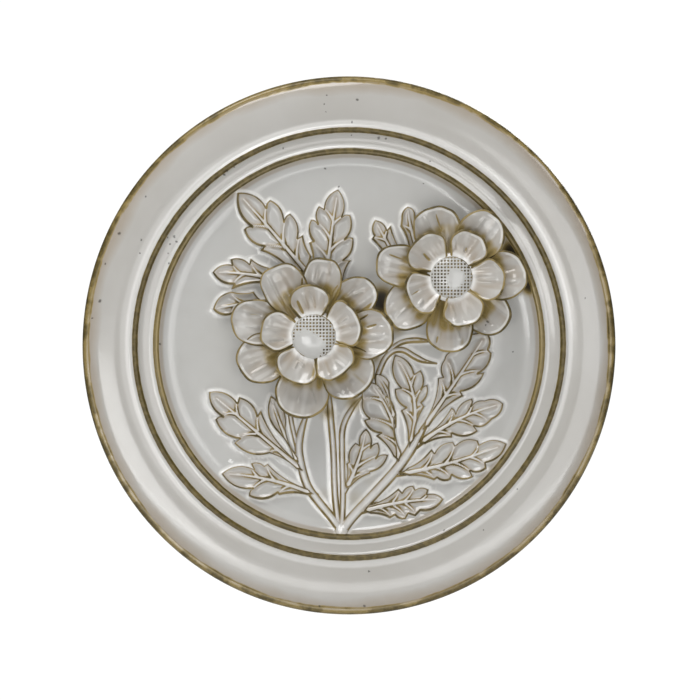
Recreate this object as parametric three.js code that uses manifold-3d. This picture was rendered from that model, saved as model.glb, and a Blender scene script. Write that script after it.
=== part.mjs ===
// A round glazed stoneware wall plaque: a plate with a wide rim and two ring ridges, low leaf
// sprays rising from one foot on its flat field, and two high-relief flowers with cupped petals.
// It is one clay body under one glaze. Millimetres. The relief is drawn on the face of the
// plate, X to the right, Y up and Z out from the wall, and the finished mesh is then stood
// upright: +Z up, the front facing -Y, and the origin at the centre of the flat back.

import * as THREE from "three";
import { mergeVertices } from "three/addons/utils/BufferGeometryUtils.js";
import Module from "manifold-3d";

const wasm = await Module();
wasm.setup();

// The plate.
const PLATE_RADIUS = 150;
const PLATE_SIDES = 48;
const FIELD_FRONT = 12; // the flat field's height above the wall
const FIELD_RADIUS = 98;
const LANDING_RADIUS = 118; // the flat back that lies on the wall
const HEEL = { radius: 123, height: 2 }; // where the underside turns up to the rim
// On the front, heights count from the field, and each place is a radius and a height.
const FILLET = { radius: 103, height: 1.1 }; // the hollow between the field and the inner ring
const INNER_RING = { radius: 108, height: 5, halfWidth: 2, shoulder: 4.3 };
const VALLEY = { radius: 113.5, height: 3.5 };
const STEP_FOOT = { radius: 117.5, height: 4.3 }; // the foot of the outer ring's steep inner wall
const OUTER_RING = { radius: 120, height: 7, halfWidth: 1.6, shoulder: 6.4 };
const RIM_INSIDE = { radius: 123.5, height: 5.4 };
const RIM_CROWN = { radius: 132, height: 6.4 };
const RIM_SHOULDER = { radius: 140, height: 5.8 };
const EDGE = { startRadius: 144.5, startHeight: 4.6, middle: 12.6, halfThickness: 3.6, roundness: 3 };
const OUT_OF_ROUND = 0.0048; // the rim is pressed by hand: narrower across than it is tall
const RING_LIFT = 0.8; // the rings sit a little above the middle of the rim

// The hanging pocket in the back: a round entry with a slot above it, wider behind its lip.
const POCKET = { up: 66, entryRadius: 7, depth: 7.5, slotWidth: 6, slotRise: 14, lip: 3, undercutWidth: 13 };

// The low relief.
const LEAF_SUNK = 1.5; // how far each leaf and stem is bedded in the field
const LEAF_SLOPE = 0.9; // how far a leaf's edge leans in from its foot to its top
const LOBE_BULGE = 0.16; // how far a lobe's edge bows out, as a share of its length
const LOBE_STEP = 9; // an edge longer than this bends once, and past twice this twice
const MIDRIB = { rise: 0.7, width: 2.2, thinning: 0.3, stations: [0.02, 0.45, 0.88] };
const SIDE_VEIN = { rise: 0.5, width: 1.5, leastReach: 8, length: 0.72 }; // length: share of the reach
const VEIN_BEDDING = 0.7;
const VEIN_TAPER = 0.6;
const VEIN_SLANT = 0.75; // a side vein leaves the midrib this far below its lobe, for each mm out
const STEM_SIDES = 3; // to each half turn
const STEPS_PER_POINT = 1.2; // along a stem's line
const FOOT = { radius: 3.8, flatness: 0.8, x: -4, y: -103.8 }; // the knob where the stems meet

// The flowers.
const PETAL_THICKNESS = 3.2;
const PETAL_ROOT = 4; // where a petal starts, from the flower's middle
const PETAL_SIDES = 12;
const PETAL_BANDS = 4;
const PETAL_BREADTH = { root: 0.45, full: 1.06, fullFrom: 0.7 };
const CUP_LEVEL = 0.6; // inside this share of its outline a petal is dished, outside it stands up
const CURL_FROM = 0.8; // where along a petal its tip begins to turn back
const OUTER_TIER = { root: 7, tip: 17, cup: 5, curl: 1.4 }; // heights above the field
const INNER_TIER = { root: 15, tip: 24, cup: 4.6, curl: 1.2 };
const BUTTON = { base: 17.5, rise: 7, sides: 16 };
// The neck under a button, by its share of the button's radius and its height.
const NECK = [[1.5, -LEAF_SUNK], [1.35, 3], [1.1, 10], [1, BUTTON.base]];

const glaze = new THREE.MeshStandardMaterial({ color: 0xbdbab2, roughness: 0.15, metalness: 0 });

// A closed geometry as a solid that can be joined and cut.
function solid(geometry) {
  const plain = geometry.clone();
  plain.deleteAttribute("normal");
  plain.deleteAttribute("uv");
  const merged = mergeVertices(plain, 1e-4);
  const mesh = new wasm.Mesh({
    numProp: 3,
    vertProperties: new Float32Array(merged.attributes.position.array),
    triVerts: new Uint32Array(merged.index.array),
  });
  return new wasm.Manifold(mesh);
}

// A solid as a geometry again.
function geometryOf(body) {
  const mesh = body.getMesh();
  const geometry = new THREE.BufferGeometry();
  geometry.setAttribute("position", new THREE.BufferAttribute(new Float32Array(mesh.vertProperties), 3));
  geometry.setIndex(new THREE.BufferAttribute(new Uint32Array(mesh.triVerts), 1));
  geometry.computeVertexNormals();
  return geometry;
}

// A place on the front as a point of the plate's section.
function onFront(place) {
  return new THREE.Vector2(place.radius, FIELD_FRONT + place.height);
}

// The three points of a ring ridge's rounded top, from its outside in.
function ridge(ring) {
  return [
    onFront({ radius: ring.radius + ring.halfWidth, height: ring.shoulder }),
    onFront(ring),
    onFront({ radius: ring.radius - ring.halfWidth, height: ring.shoulder }),
  ];
}

// The plate: its section turned about the axis, from the middle of the back round the edge to
// the middle of the field.
function plate() {
  const edge = [-55, 0, 55].map((degrees) => {
    const turn = THREE.MathUtils.degToRad(degrees);
    const inset = EDGE.roundness * (1 - Math.cos(turn));
    return new THREE.Vector2(PLATE_RADIUS - inset, EDGE.middle + EDGE.halfThickness * Math.sin(turn));
  });
  const section = [
    new THREE.Vector2(0, 0),
    new THREE.Vector2(LANDING_RADIUS, 0),
    new THREE.Vector2(HEEL.radius, HEEL.height),
    new THREE.Vector2(EDGE.startRadius, FIELD_FRONT - EDGE.halfThickness),
    ...edge,
    onFront({ radius: EDGE.startRadius, height: EDGE.startHeight }),
    onFront(RIM_SHOULDER),
    onFront(RIM_CROWN),
    onFront(RIM_INSIDE),
    ...ridge(OUTER_RING),
    onFront(STEP_FOOT),
    onFront(VALLEY),
    ...ridge(INNER_RING),
    onFront(FILLET),
    onFront({ radius: FIELD_RADIUS, height: 0 }),
    onFront({ radius: 0, height: 0 }),
  ];
  const geometry = new THREE.LatheGeometry(section, PLATE_SIDES);
  geometry.rotateX(Math.PI / 2);
  const place = geometry.attributes.position;
  for (let i = 0; i < place.count; i += 1) {
    const radius = Math.hypot(place.getX(i), place.getY(i));
    const rim = THREE.MathUtils.smoothstep(radius, RIM_INSIDE.radius, EDGE.startRadius);
    const ring = THREE.MathUtils.smoothstep(radius, FIELD_RADIUS / 2, FIELD_RADIUS) * (1 - rim);
    place.setX(i, place.getX(i) * (1 - OUT_OF_ROUND * rim));
    place.setY(i, place.getY(i) * (1 + OUT_OF_ROUND * rim) + RING_LIFT * ring);
  }
  return solid(geometry);
}

function pocket() {
  const entry = new THREE.CylinderGeometry(POCKET.entryRadius, POCKET.entryRadius, POCKET.depth * 2, 20);
  entry.rotateX(Math.PI / 2);
  entry.translate(0, POCKET.up, 0);
  const slot = new THREE.BoxGeometry(POCKET.slotWidth, POCKET.slotRise, POCKET.depth * 2);
  slot.translate(0, POCKET.up + POCKET.slotRise / 2, 0);
  const behindLip = POCKET.depth - POCKET.lip;
  const undercut = new THREE.BoxGeometry(POCKET.undercutWidth, POCKET.slotRise, behindLip);
  undercut.translate(0, POCKET.up + POCKET.slotRise / 2, POCKET.lip + behindLip / 2);
  return solid(entry).add(solid(slot)).add(solid(undercut));
}

// A leaf's midrib: a gentle arc from its base to its tip, bowed to the left where bow is over 0.
function midribOf(leaf) {
  const base = new THREE.Vector2(...leaf.base);
  const tip = new THREE.Vector2(...leaf.tip);
  const along = tip.clone().sub(base).normalize();
  const pull = new THREE.Vector2(-along.y, along.x).multiplyScalar(2 * leaf.bow);
  const middle = base.clone().add(tip).multiplyScalar(0.5).add(pull);
  return new THREE.QuadraticBezierCurve(base, middle, tip);
}

// The point at a share of a leaf's length, this far out to the left of its midrib.
function besideMidrib(midrib, share, out) {
  const along = midrib.getTangent(share);
  return midrib.getPoint(share).add(new THREE.Vector2(-along.y, along.x).multiplyScalar(out));
}

// An edge from one corner of a leaf to the next, bowed outwards, without its last point.
function lobeEdge(from, to) {
  const chord = to.clone().sub(from);
  const steps = Math.min(3, 1 + Math.floor(chord.length() / LOBE_STEP));
  const outward = new THREE.Vector2(-chord.y, chord.x).multiplyScalar(LOBE_BULGE);
  const points = [];
  for (let step = 0; step < steps; step += 1) {
    const share = step / steps;
    const lift = 4 * share * (1 - share);
    points.push(from.clone().addScaledVector(chord, share).addScaledVector(outward, lift));
  }
  return points;
}

// The outline of a leaf. Each side lists its corners from base to tip, the tooth of each lobe
// and the notch beyond it, as a share of the leaf's length and a distance from the midrib.
function leafOutline(leaf) {
  const midrib = midribOf(leaf);
  const tip = midrib.getPoint(1);
  const left = leaf.left.map(([share, out]) => besideMidrib(midrib, share, out));
  const right = leaf.right.map(([share, out]) => besideMidrib(midrib, share, -out));
  const corners = [...left, tip, ...right.reverse()];
  const outline = [];
  for (let i = 0; i + 1 < corners.length; i += 1) outline.push(...lobeEdge(corners[i], corners[i + 1]));
  outline.push(corners[corners.length - 1]);
  return outline;
}

// A ridge of triangular section from one point of the face to another, sharp at its far end.
function vein(from, to, width, foot, crest) {
  const along = to.clone().sub(from);
  const across = new THREE.Vector2(-along.y, along.x).setLength(width / 2);
  const section = new THREE.Shape([
    new THREE.Vector2(-width / 2, foot),
    new THREE.Vector2(width / 2, foot),
    new THREE.Vector2(0, crest),
  ]);
  const geometry = new THREE.ExtrudeGeometry(section, { depth: 1, bevelEnabled: false, steps: 1 });
  const place = geometry.attributes.position;
  for (let i = 0; i < place.count; i += 1) {
    const side = place.getX(i) / (width / 2);
    const share = place.getZ(i);
    const taper = 1 - VEIN_TAPER * share;
    const spot = from.clone().addScaledVector(along, share).addScaledVector(across, side * taper);
    place.setXYZ(i, spot.x, spot.y, place.getY(i));
  }
  return solid(geometry);
}

// A leaf: a pad with sloping edges bedded in the field, with its midrib and a vein to each lobe.
function leafBody(leaf) {
  const top = FIELD_FRONT + leaf.rise;
  const shape = new THREE.Shape(leafOutline(leaf));
  const pad = new THREE.ExtrudeGeometry(shape, {
    depth: LEAF_SUNK,
    bevelEnabled: true,
    bevelSegments: 1,
    bevelSize: LEAF_SLOPE,
    bevelOffset: -LEAF_SLOPE,
    bevelThickness: leaf.rise,
  });
  pad.translate(0, 0, FIELD_FRONT - LEAF_SUNK);
  let body = solid(pad);
  const midrib = midribOf(leaf);
  const foot = top - VEIN_BEDDING;
  for (let i = 0; i + 1 < MIDRIB.stations.length; i += 1) {
    const from = midrib.getPoint(MIDRIB.stations[i]);
    const to = midrib.getPoint(MIDRIB.stations[i + 1]);
    body = body.add(vein(from, to, MIDRIB.width * (1 - MIDRIB.thinning * i), foot, top + MIDRIB.rise));
  }
  const sides = [[leaf.left, 1], [leaf.right, -1]];
  for (const [corners, side] of sides) {
    const teeth = corners.filter((corner, i) => i % 2 === 1 && corner[1] > SIDE_VEIN.leastReach);
    for (const [share, out] of teeth) {
      const rootShare = Math.max(MIDRIB.stations[0], share - (out * VEIN_SLANT) / midrib.getLength());
      const end = besideMidrib(midrib, share, side * out * SIDE_VEIN.length);
      body = body.add(vein(midrib.getPoint(rootShare), end, SIDE_VEIN.width, foot, top + SIDE_VEIN.rise));
    }
  }
  return body;
}

// Each leaf by its place. The sides start with a corner at the base.
const leaves = [
  { // long leaf, upper left
    base: [-23.5, 41], tip: [-62.2, 84.5], bow: -0.3, rise: 2.6,
    left: [[0.1, 6], [0.45, 11.7], [0.45, 8.8], [0.7, 11.1], [0.67, 6.8]],
    right: [[0.09, 7.5], [0.29, 11.5], [0.3, 8], [0.52, 13.9], [0.5, 8.4], [0.74, 10.6], [0.71, 6.1]],
  },
  { // upright leaf, upper middle
    base: [-12.9, 31], tip: [-6.2, 86.5], bow: 0.7, rise: 2.2,
    left: [[0.2, 8.5], [0.45, 11.5], [0.47, 9.5], [0.67, 12.3], [0.64, 8.2], [0.81, 9], [0.79, 6]],
    right: [[0.1, 9], [0.32, 12.2], [0.31, 8.1], [0.55, 12.2], [0.52, 7.8], [0.77, 8.9], [0.74, 4.6]],
  },
  { // leaf behind the left flower, upper left
    base: [-35.8, 36], tip: [-76.2, 40.3], bow: -1.3, rise: 2.4,
    left: [[0.25, 3], [0.73, 8.9], [0.7, 6.2]],
    right: [[0.26, 5.3], [0.5, 8.7], [0.51, 5.6], [0.76, 7.4], [0.74, 4.3]],
  },
  { // leaf tip below it
    base: [-48.7, 24.3], tip: [-75.9, 19.8], bow: -0.5, rise: 1.8,
    left: [[0.15, 4], [0.65, 4.6]],
    right: [[0.15, 6], [0.58, 7.6]],
  },
  { // leaf tips behind the right flower
    base: [31, 40.2], tip: [14.6, 69.7], bow: 0.1, rise: 2.2,
    left: [[0.1, 5], [0.76, 6.3], [0.79, 4.4]],
    right: [[0.1, 6], [0.79, 6], [0.76, 3.2]],
  },
  {
    base: [38.6, 53], tip: [32.8, 76.9], bow: 0.9, rise: 1.8,
    left: [[0.05, 4.6], [0.62, 5.2], [0.77, 4]],
    right: [[0.05, 4], [0.85, 3.6]],
  },
  { // long leaf, lower left
    base: [-27.4, -69.2], tip: [-78.1, -26.7], bow: -0.1, rise: 2.4,
    left: [[0.02, 1.6], [0.28, 4.5], [0.56, 13], [0.55, 9.2], [0.81, 9.7], [0.78, 5.8]],
    right: [[0.05, 1.8], [0.57, 10.7], [0.56, 7], [0.78, 8.6], [0.76, 5.4]],
  },
  { // flat leaf, lower left
    base: [-21.3, -83.2], tip: [-71.1, -72.6], bow: -2.3, rise: 2.2,
    left: [[0.02, 1.6], [0.33, 6.8], [0.35, 6], [0.67, 11], [0.64, 6.6]],
    right: [[0.04, 1.4], [0.53, 8.6], [0.56, 7], [0.7, 7.2], [0.66, 4.1]],
  },
  { // slender leaf under the left flower
    base: [-28.6, -65.3], tip: [-43.7, -28.3], bow: 1.1, rise: 2,
    left: [[0.05, 1.6], [0.5, 2.9]],
    right: [[0.05, 1], [0.5, 1.6]],
  },
  { // low leaf at the right of the foot
    base: [9, -93.3], tip: [52.6, -86.9], bow: 1.7, rise: 2.2,
    left: [[0.06, 2.4], [0.46, 7.8], [0.5, 5.2], [0.64, 8.4], [0.66, 6], [0.82, 5.5], [0.8, 2.9]],
    right: [[0.06, 2.4], [0.29, 7.4], [0.36, 6.3], [0.49, 9.4], [0.54, 6.8], [0.63, 8.5], [0.7, 5.8]],
  },
  { // long leaf that reaches the inner ring
    base: [27.4, -72.6], tip: [87.9, -55.8], bow: -1.9, rise: 2.6,
    left: [[0.1, 2.6], [0.34, 10.1], [0.36, 7.5], [0.55, 10.9], [0.56, 8.5], [0.77, 7.3], [0.77, 4.6]],
    right: [
      [0.1, 1.8], [0.3, 7.1], [0.33, 6.3], [0.44, 9], [0.46, 6.8],
      [0.63, 11.1], [0.62, 7.4], [0.76, 8.9], [0.77, 5.8],
    ],
  },
  { // leaf above it
    base: [40.3, -54.7], tip: [86.2, -33.4], bow: 2.9, rise: 2.4,
    left: [[0.05, 2], [0.47, 7.7], [0.48, 3.3], [0.7, 7.7], [0.66, 3.8], [0.82, 4.3]],
    right: [[0.03, 1.8], [0.32, 7.2], [0.34, 5.1], [0.63, 10.6], [0.61, 7], [0.78, 8.3], [0.84, 6.8]],
  },
  { // tall leaf under the right flower
    base: [42, -45.7], tip: [77.3, 6.4], bow: -0.3, rise: 2.2,
    left: [[0.05, 1.4], [0.43, 9.1], [0.46, 7.1], [0.6, 12], [0.7, 11]],
    right: [[0.03, 2], [0.42, 8.1], [0.44, 5.4], [0.69, 10.8], [0.65, 7.9], [0.87, 8], [0.88, 5.6]],
  },
  { // upright leaf, middle
    base: [34.2, -55.8], tip: [25.8, -5.4], bow: -6.4, rise: 2.6,
    left: [[0.04, 1.8], [0.37, 7.8], [0.4, 4.9], [0.66, 9], [0.65, 5.8]],
    right: [[0.05, 1.2], [0.4, 5.2], [0.44, 3.7], [0.6, 8.8], [0.57, 4.9], [0.75, 8], [0.74, 3.9]],
  },
  { // leaf tucked under the left flower
    base: [28, -64.2], tip: [11.2, -20.5], bow: -4.4, rise: 2,
    left: [[0.04, 3], [0.34, 11], [0.36, 8.1], [0.62, 14.4], [0.61, 11.4], [0.88, 9.2]],
    right: [[0.06, 1.6], [0.5, 2], [0.8, 2.4]],
  },
  { // narrow leaf beside it
    base: [25.2, -41.8], tip: [15.1, -16], bow: -2.5, rise: 1.7,
    left: [[0.1, 2], [0.6, 3.4]],
    right: [[0.1, 1.4], [0.72, 3.2]],
  },
  { // small lobed leaf over the foot
    base: [-1.1, -79.9], tip: [9.5, -46.8], bow: -1.4, rise: 2.3,
    left: [[0.04, 1.6], [0.36, 5.6], [0.4, 4.6], [0.74, 4.2], [0.72, 1.8]],
    right: [[0.04, 1.6], [0.34, 8.6], [0.36, 8.2], [0.68, 15], [0.58, 9], [0.82, 8], [0.72, 4.6]],
  },
];

// Each stem by its line on the face and its thickness.
const stems = [
  { thickness: 4.4, line: [[-5.2, -103], [-10.6, -96], [-17.4, -87.7], [-23.5, -78.5], [-27.4, -64.2],
    [-28, -54], [-25, -42], [-19, -28]] },
  { thickness: 2.6, line: [[-27.4, -64.2], [-30, -53], [-32.5, -41.5]] },
  { thickness: 3.4, line: [[-6, -101], [-7.8, -84], [-8.8, -58], [-10.6, -36]] },
  { thickness: 3.2, line: [[-4, -101], [-3.4, -84], [-3.9, -60], [-3.4, -46], [1.5, -35.5], [8, -28]] },
  { thickness: 5.4, line: [[-2.8, -103], [2, -95.6], [14.6, -81.5], [28, -65.8], [38, -51], [43, -44.5]] },
  { thickness: 2.8, line: [[2.6, -96.6], [10.4, -91.6], [18, -88.6]] },
  { thickness: 3, line: [[15.6, -18], [19.6, -8.2], [24.5, -3.2], [30.5, -2.6], [36.5, -6], [42, -8.6]] },
  { thickness: 2.6, line: [[22, -3], [29, 1.6], [36, 3], [46, 2.5]] },
];

// A stem: a round rod bedded to its middle in the field.
function stemBody(stem) {
  const line = new THREE.CatmullRomCurve3(stem.line.map(([x, y]) => new THREE.Vector3(x, y, FIELD_FRONT)));
  const section = new THREE.Shape();
  section.absarc(0, 0, stem.thickness / 2, 0, Math.PI * 2);
  const steps = Math.round(stem.line.length * STEPS_PER_POINT);
  const options = { steps, extrudePath: line, curveSegments: STEM_SIDES };
  return solid(new THREE.ExtrudeGeometry(section, options));
}

// The foot where all the stems meet, against the inner ring.
function footBody() {
  const knob = new THREE.SphereGeometry(FOOT.radius, 10, 6);
  knob.scale(1, 1, FOOT.flatness);
  knob.translate(FOOT.x, FOOT.y, FIELD_FRONT);
  return solid(knob);
}

// A petal: a flat ball drawn out from the flower's middle, narrow at the root and round at the
// tip, cupped so that its edge stands up all round, and rising from root to tip.
function petalBody(petal, tier) {
  const ball = new THREE.SphereGeometry(1, PETAL_SIDES, PETAL_BANDS);
  ball.rotateX(Math.PI / 2);
  const heading = THREE.MathUtils.degToRad(petal.heading);
  const along = new THREE.Vector2(Math.cos(heading), Math.sin(heading));
  const place = ball.attributes.position;
  for (let i = 0; i < place.count; i += 1) {
    const forward = place.getX(i);
    const aside = place.getY(i);
    const share = (forward + 1) / 2;
    const reach = PETAL_ROOT + (petal.reach - PETAL_ROOT) * share;
    const widening = THREE.MathUtils.smoothstep(share, 0, PETAL_BREADTH.fullFrom);
    const breadth = THREE.MathUtils.lerp(PETAL_BREADTH.root, PETAL_BREADTH.full, widening);
    const across = aside * breadth * (petal.width / 2);
    const outside = Math.min(1, forward * forward + aside * aside);
    const rise = (tier.tip - tier.root) * Math.sin(share * Math.PI * 0.5);
    const cup = tier.cup * (outside - CUP_LEVEL) * share;
    const curl = (tier.curl * Math.max(0, share - CURL_FROM)) / (1 - CURL_FROM);
    const height = tier.root + rise + cup - curl + (petal.lift ?? 0);
    const x = along.x * reach - along.y * across;
    const y = along.y * reach + along.x * across;
    place.setXYZ(i, x, y, FIELD_FRONT + height + (place.getZ(i) * PETAL_THICKNESS) / 2);
  }
  return solid(ball);
}

// The middle of a flower: the stem of clay that carries its petals, and the domed button on it.
function buttonBody(buttonRadius) {
  const section = [new THREE.Vector2(0, FIELD_FRONT - LEAF_SUNK)];
  for (const [share, height] of NECK) {
    section.push(new THREE.Vector2(buttonRadius * share, FIELD_FRONT + height));
  }
  for (const degrees of [24, 52]) {
    const turn = THREE.MathUtils.degToRad(degrees);
    const height = BUTTON.base + BUTTON.rise * Math.sin(turn);
    section.push(new THREE.Vector2(buttonRadius * Math.cos(turn), FIELD_FRONT + height));
  }
  section.push(new THREE.Vector2(0, FIELD_FRONT + BUTTON.base + BUTTON.rise));
  const geometry = new THREE.LatheGeometry(section, BUTTON.sides);
  geometry.rotateX(Math.PI / 2);
  return solid(geometry);
}

function flowerBody(flower) {
  let body = buttonBody(flower.buttonRadius);
  for (const petal of flower.outer) body = body.add(petalBody(petal, OUTER_TIER));
  for (const petal of flower.inner) body = body.add(petalBody(petal, INNER_TIER));
  return body.translate([flower.x, flower.y, 0]);
}

// The flowers, each with its petals by heading, reach and width.
const leftFlower = {
  x: -19.6,
  y: 5,
  buttonRadius: 12.3,
  inner: [
    { heading: 97, reach: 29, width: 22.5 },
    { heading: 22, reach: 27.6, width: 26.5 },
    { heading: -52, reach: 27, width: 24 },
    { heading: 240, reach: 28.4, width: 25 },
    { heading: 172, reach: 30, width: 23.5 },
  ],
  outer: [
    { heading: 121, reach: 45, width: 25, lift: 0.6 },
    { heading: 82, reach: 44.2, width: 21.5 },
    { heading: 43, reach: 44.4, width: 23, lift: -1 },
    { heading: 2, reach: 44.3, width: 27.5, lift: 0.5 },
    { heading: -47, reach: 42, width: 31 },
    { heading: 259, reach: 46.3, width: 30.5, lift: -0.6 },
    { heading: 203, reach: 45.3, width: 27.5, lift: -1.2 },
    { heading: 166, reach: 47.4, width: 26 },
  ],
};

const rightFlower = {
  x: 57.1,
  y: 37.8,
  buttonRadius: 11.6,
  inner: [
    { heading: 134, reach: 29, width: 24 },
    { heading: 61, reach: 28.6, width: 21.5 },
    { heading: -4, reach: 29.6, width: 23 },
    { heading: -70, reach: 28.3, width: 23 },
    { heading: 207, reach: 27.5, width: 24 },
  ],
  outer: [
    { heading: 167, reach: 43, width: 24.5, lift: 0.5 },
    { heading: 107, reach: 40.6, width: 26.5 },
    { heading: 56, reach: 42, width: 27, lift: 0.5 },
    { heading: 2, reach: 42, width: 27.4 },
    { heading: -44, reach: 41.4, width: 25, lift: -0.8 },
    { heading: 268, reach: 42, width: 26 },
    { heading: 213, reach: 42.6, width: 27, lift: -0.5 },
  ],
};

function plaqueBody() {
  let body = plate().subtract(pocket());
  for (const leaf of leaves) body = body.add(leafBody(leaf));
  for (const stem of stems) body = body.add(stemBody(stem));
  body = body.add(footBody());
  return body.add(flowerBody(leftFlower)).add(flowerBody(rightFlower));
}

const plaque = new THREE.Mesh(geometryOf(plaqueBody()), glaze);
plaque.name = "plaque";
plaque.rotation.x = Math.PI / 2;

const group = new THREE.Group();
group.add(plaque);

export default group;
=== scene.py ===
import math

import bmesh
import bpy
import numpy as np
from mathutils import Matrix, Vector, noise
from mathutils.geometry import interpolate_bezier


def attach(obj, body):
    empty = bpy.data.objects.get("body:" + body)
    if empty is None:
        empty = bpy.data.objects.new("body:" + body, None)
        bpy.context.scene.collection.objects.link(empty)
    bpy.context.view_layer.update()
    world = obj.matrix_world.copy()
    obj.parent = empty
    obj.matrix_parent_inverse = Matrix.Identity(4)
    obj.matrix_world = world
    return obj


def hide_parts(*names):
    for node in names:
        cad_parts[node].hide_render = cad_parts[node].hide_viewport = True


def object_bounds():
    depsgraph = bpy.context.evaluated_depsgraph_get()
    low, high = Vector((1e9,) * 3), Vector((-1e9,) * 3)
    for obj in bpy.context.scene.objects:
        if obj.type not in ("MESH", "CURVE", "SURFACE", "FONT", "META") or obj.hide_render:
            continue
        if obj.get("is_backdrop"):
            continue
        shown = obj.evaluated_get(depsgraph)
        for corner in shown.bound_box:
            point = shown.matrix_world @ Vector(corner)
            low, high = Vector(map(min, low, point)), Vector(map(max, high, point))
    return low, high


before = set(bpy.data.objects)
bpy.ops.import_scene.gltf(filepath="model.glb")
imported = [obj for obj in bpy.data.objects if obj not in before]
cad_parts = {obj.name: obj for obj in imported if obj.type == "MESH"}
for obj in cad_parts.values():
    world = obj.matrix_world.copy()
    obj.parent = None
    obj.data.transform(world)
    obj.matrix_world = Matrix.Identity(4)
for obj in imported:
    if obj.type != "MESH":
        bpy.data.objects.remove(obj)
cad_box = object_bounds()


# The plate is pressed in stoneware clay: a flat field, two ring ridges, a wide soft rim, and a
# flat back with a pocket that hooks over a screw. Sizes are in millimetres on the plate's face,
# x to the right, y up and heights out from the wall.
MM = 0.001
FIELD_FRONT = 12.0
TURNS = 264
FIELD_CELLS = TURNS // 4
DISC_RADIUS = 95.2
RELIEF_RADIUS = 108.0
OUT_OF_ROUND = 0.0048
RING_LIFT = 0.8
FRONT_FROM = 8.0
WELD_GAP = 0.02
FACE_SECTION = [
    (146.9, 3.7), (144.5, 4.75), (140.0, 5.85), (132.0, 6.4), (126.6, 6.0), (123.9, 5.5),
    (122.6, 5.65), (121.7, 6.4), (120.8, 6.95), (119.8, 7.0), (118.8, 6.6), (118.1, 5.75),
    (117.2, 4.85), (115.6, 4.15), (113.3, 3.6), (111.5, 3.45), (110.4, 3.95), (109.3, 4.8),
    (108.1, 5.0), (107.0, 4.75), (106.0, 4.0), (104.9, 2.8), (103.3, 1.6), (101.1, 0.75),
    (98.4, 0.3), (95.0, 0.08), (91.0, 0.0),
]
EDGE_RADIUS = 149.99
EDGE_MIDDLE = 12.6
EDGE_HALF_THICKNESS = 3.6
EDGE_ROUNDNESS = 3.0
BACK_SECTION = [
    (0.0, 0.0), (40.0, 0.0), (80.0, 0.0), (116.5, 0.0), (118.5, 0.25), (120.5, 0.9), (123.0, 2.0),
    (133.0, 5.0), (144.0, 8.3),
]
POCKET = {
    "up": 66.0, "entry": 7.0, "depth": 7.5, "slot": 6.0, "rise": 14.0, "lip": 3.0, "undercut": 13.0,
}


def smooth_line(corners, steps):
    """A smooth line through the corners, with this many steps from each to the next."""
    corners = [Vector((*corner, 0.0)) for corner in corners]
    last = len(corners) - 1
    points = []
    for i in range(last):
        here, there = corners[i], corners[i + 1]
        leaving = here + (there - corners[max(i - 1, 0)]) / 6
        arriving = there - (corners[min(i + 2, last)] - here) / 6
        points.extend(interpolate_bezier(here, leaving, arriving, there, steps + 1)[:-1])
    points.append(corners[last])
    return np.array(points)[:, :2]


FACE_RADII, FACE_HEIGHTS = smooth_line(FACE_SECTION, 4)[::-1].T


def face_height(radius):
    """How far in front of the wall the face stands at this radius, without the sprays."""
    return FIELD_FRONT + np.interp(radius, FACE_RADII, FACE_HEIGHTS)


def section_of_plate():
    """The section from the middle of the back round the edge to the disc, as (radius, height)."""
    edge = []
    for degrees in range(-75, 76, 15):
        turn = math.radians(degrees)
        inset = EDGE_ROUNDNESS * (1 - math.cos(turn))
        edge.append((EDGE_RADIUS - inset, EDGE_MIDDLE + EDGE_HALF_THICKNESS * math.sin(turn)))
    rim = [(radius, FIELD_FRONT + height) for radius, height in smooth_line(FACE_SECTION, 3)]
    front = [(radius, height) for radius, height in rim if radius > DISC_RADIUS + 0.01]
    return BACK_SECTION + edge + front + [(DISC_RADIUS, face_height(DISC_RADIUS))]


def disc_place(across, up):
    """Where a point of a square from -1 to 1 goes on a disc of radius 1, at even angles."""
    if across == 0 and up == 0:
        return 0.0, 0.0
    if abs(across) > abs(up):
        turn = math.pi / 4 * up / across
        return across * math.cos(turn), across * math.sin(turn)
    turn = math.pi / 2 - math.pi / 4 * across / up
    return up * math.cos(turn), up * math.sin(turn)


def plain_plate():
    """The plate with a level field, as a bmesh."""
    mesh = bmesh.new()
    chain = [mesh.verts.new((radius * MM, -height * MM, 0.0)) for radius, height in section_of_plate()]
    links = [mesh.edges.new(pair) for pair in zip(chain, chain[1:])]
    bmesh.ops.spin(
        mesh, geom=chain + links, cent=(0, 0, 0), axis=(0, 1, 0), dvec=(0, 0, 0),
        angle=2 * math.pi, steps=TURNS, use_merge=True, use_duplicate=False,
    )
    disc = bmesh.ops.create_grid(mesh, x_segments=FIELD_CELLS, y_segments=FIELD_CELLS, size=1.0)["verts"]
    for vert in disc:
        x, y = disc_place(vert.co.x, vert.co.y)
        height = face_height(math.hypot(x, y) * DISC_RADIUS)
        vert.co = (x * DISC_RADIUS * MM, -height * MM, y * DISC_RADIUS * MM)
    bmesh.ops.remove_doubles(mesh, verts=mesh.verts, dist=WELD_GAP * MM)
    bmesh.ops.recalc_face_normals(mesh, faces=mesh.faces)
    return mesh


def as_mesh(name, mesh):
    data = bpy.data.meshes.new(name)
    mesh.to_mesh(data)
    mesh.free()
    return data


def new_object(name, mesh):
    """A bmesh as an object of this name in the scene."""
    piece = bpy.data.objects.new(name, as_mesh(name, mesh))
    bpy.context.scene.collection.objects.link(piece)
    return piece


def box(size, middle):
    mesh = bmesh.new()
    bmesh.ops.create_cube(mesh, size=1.0)
    bmesh.ops.scale(mesh, verts=mesh.verts, vec=[length * MM for length in size])
    bmesh.ops.translate(mesh, verts=mesh.verts, vec=[place * MM for place in middle])
    return mesh


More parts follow.
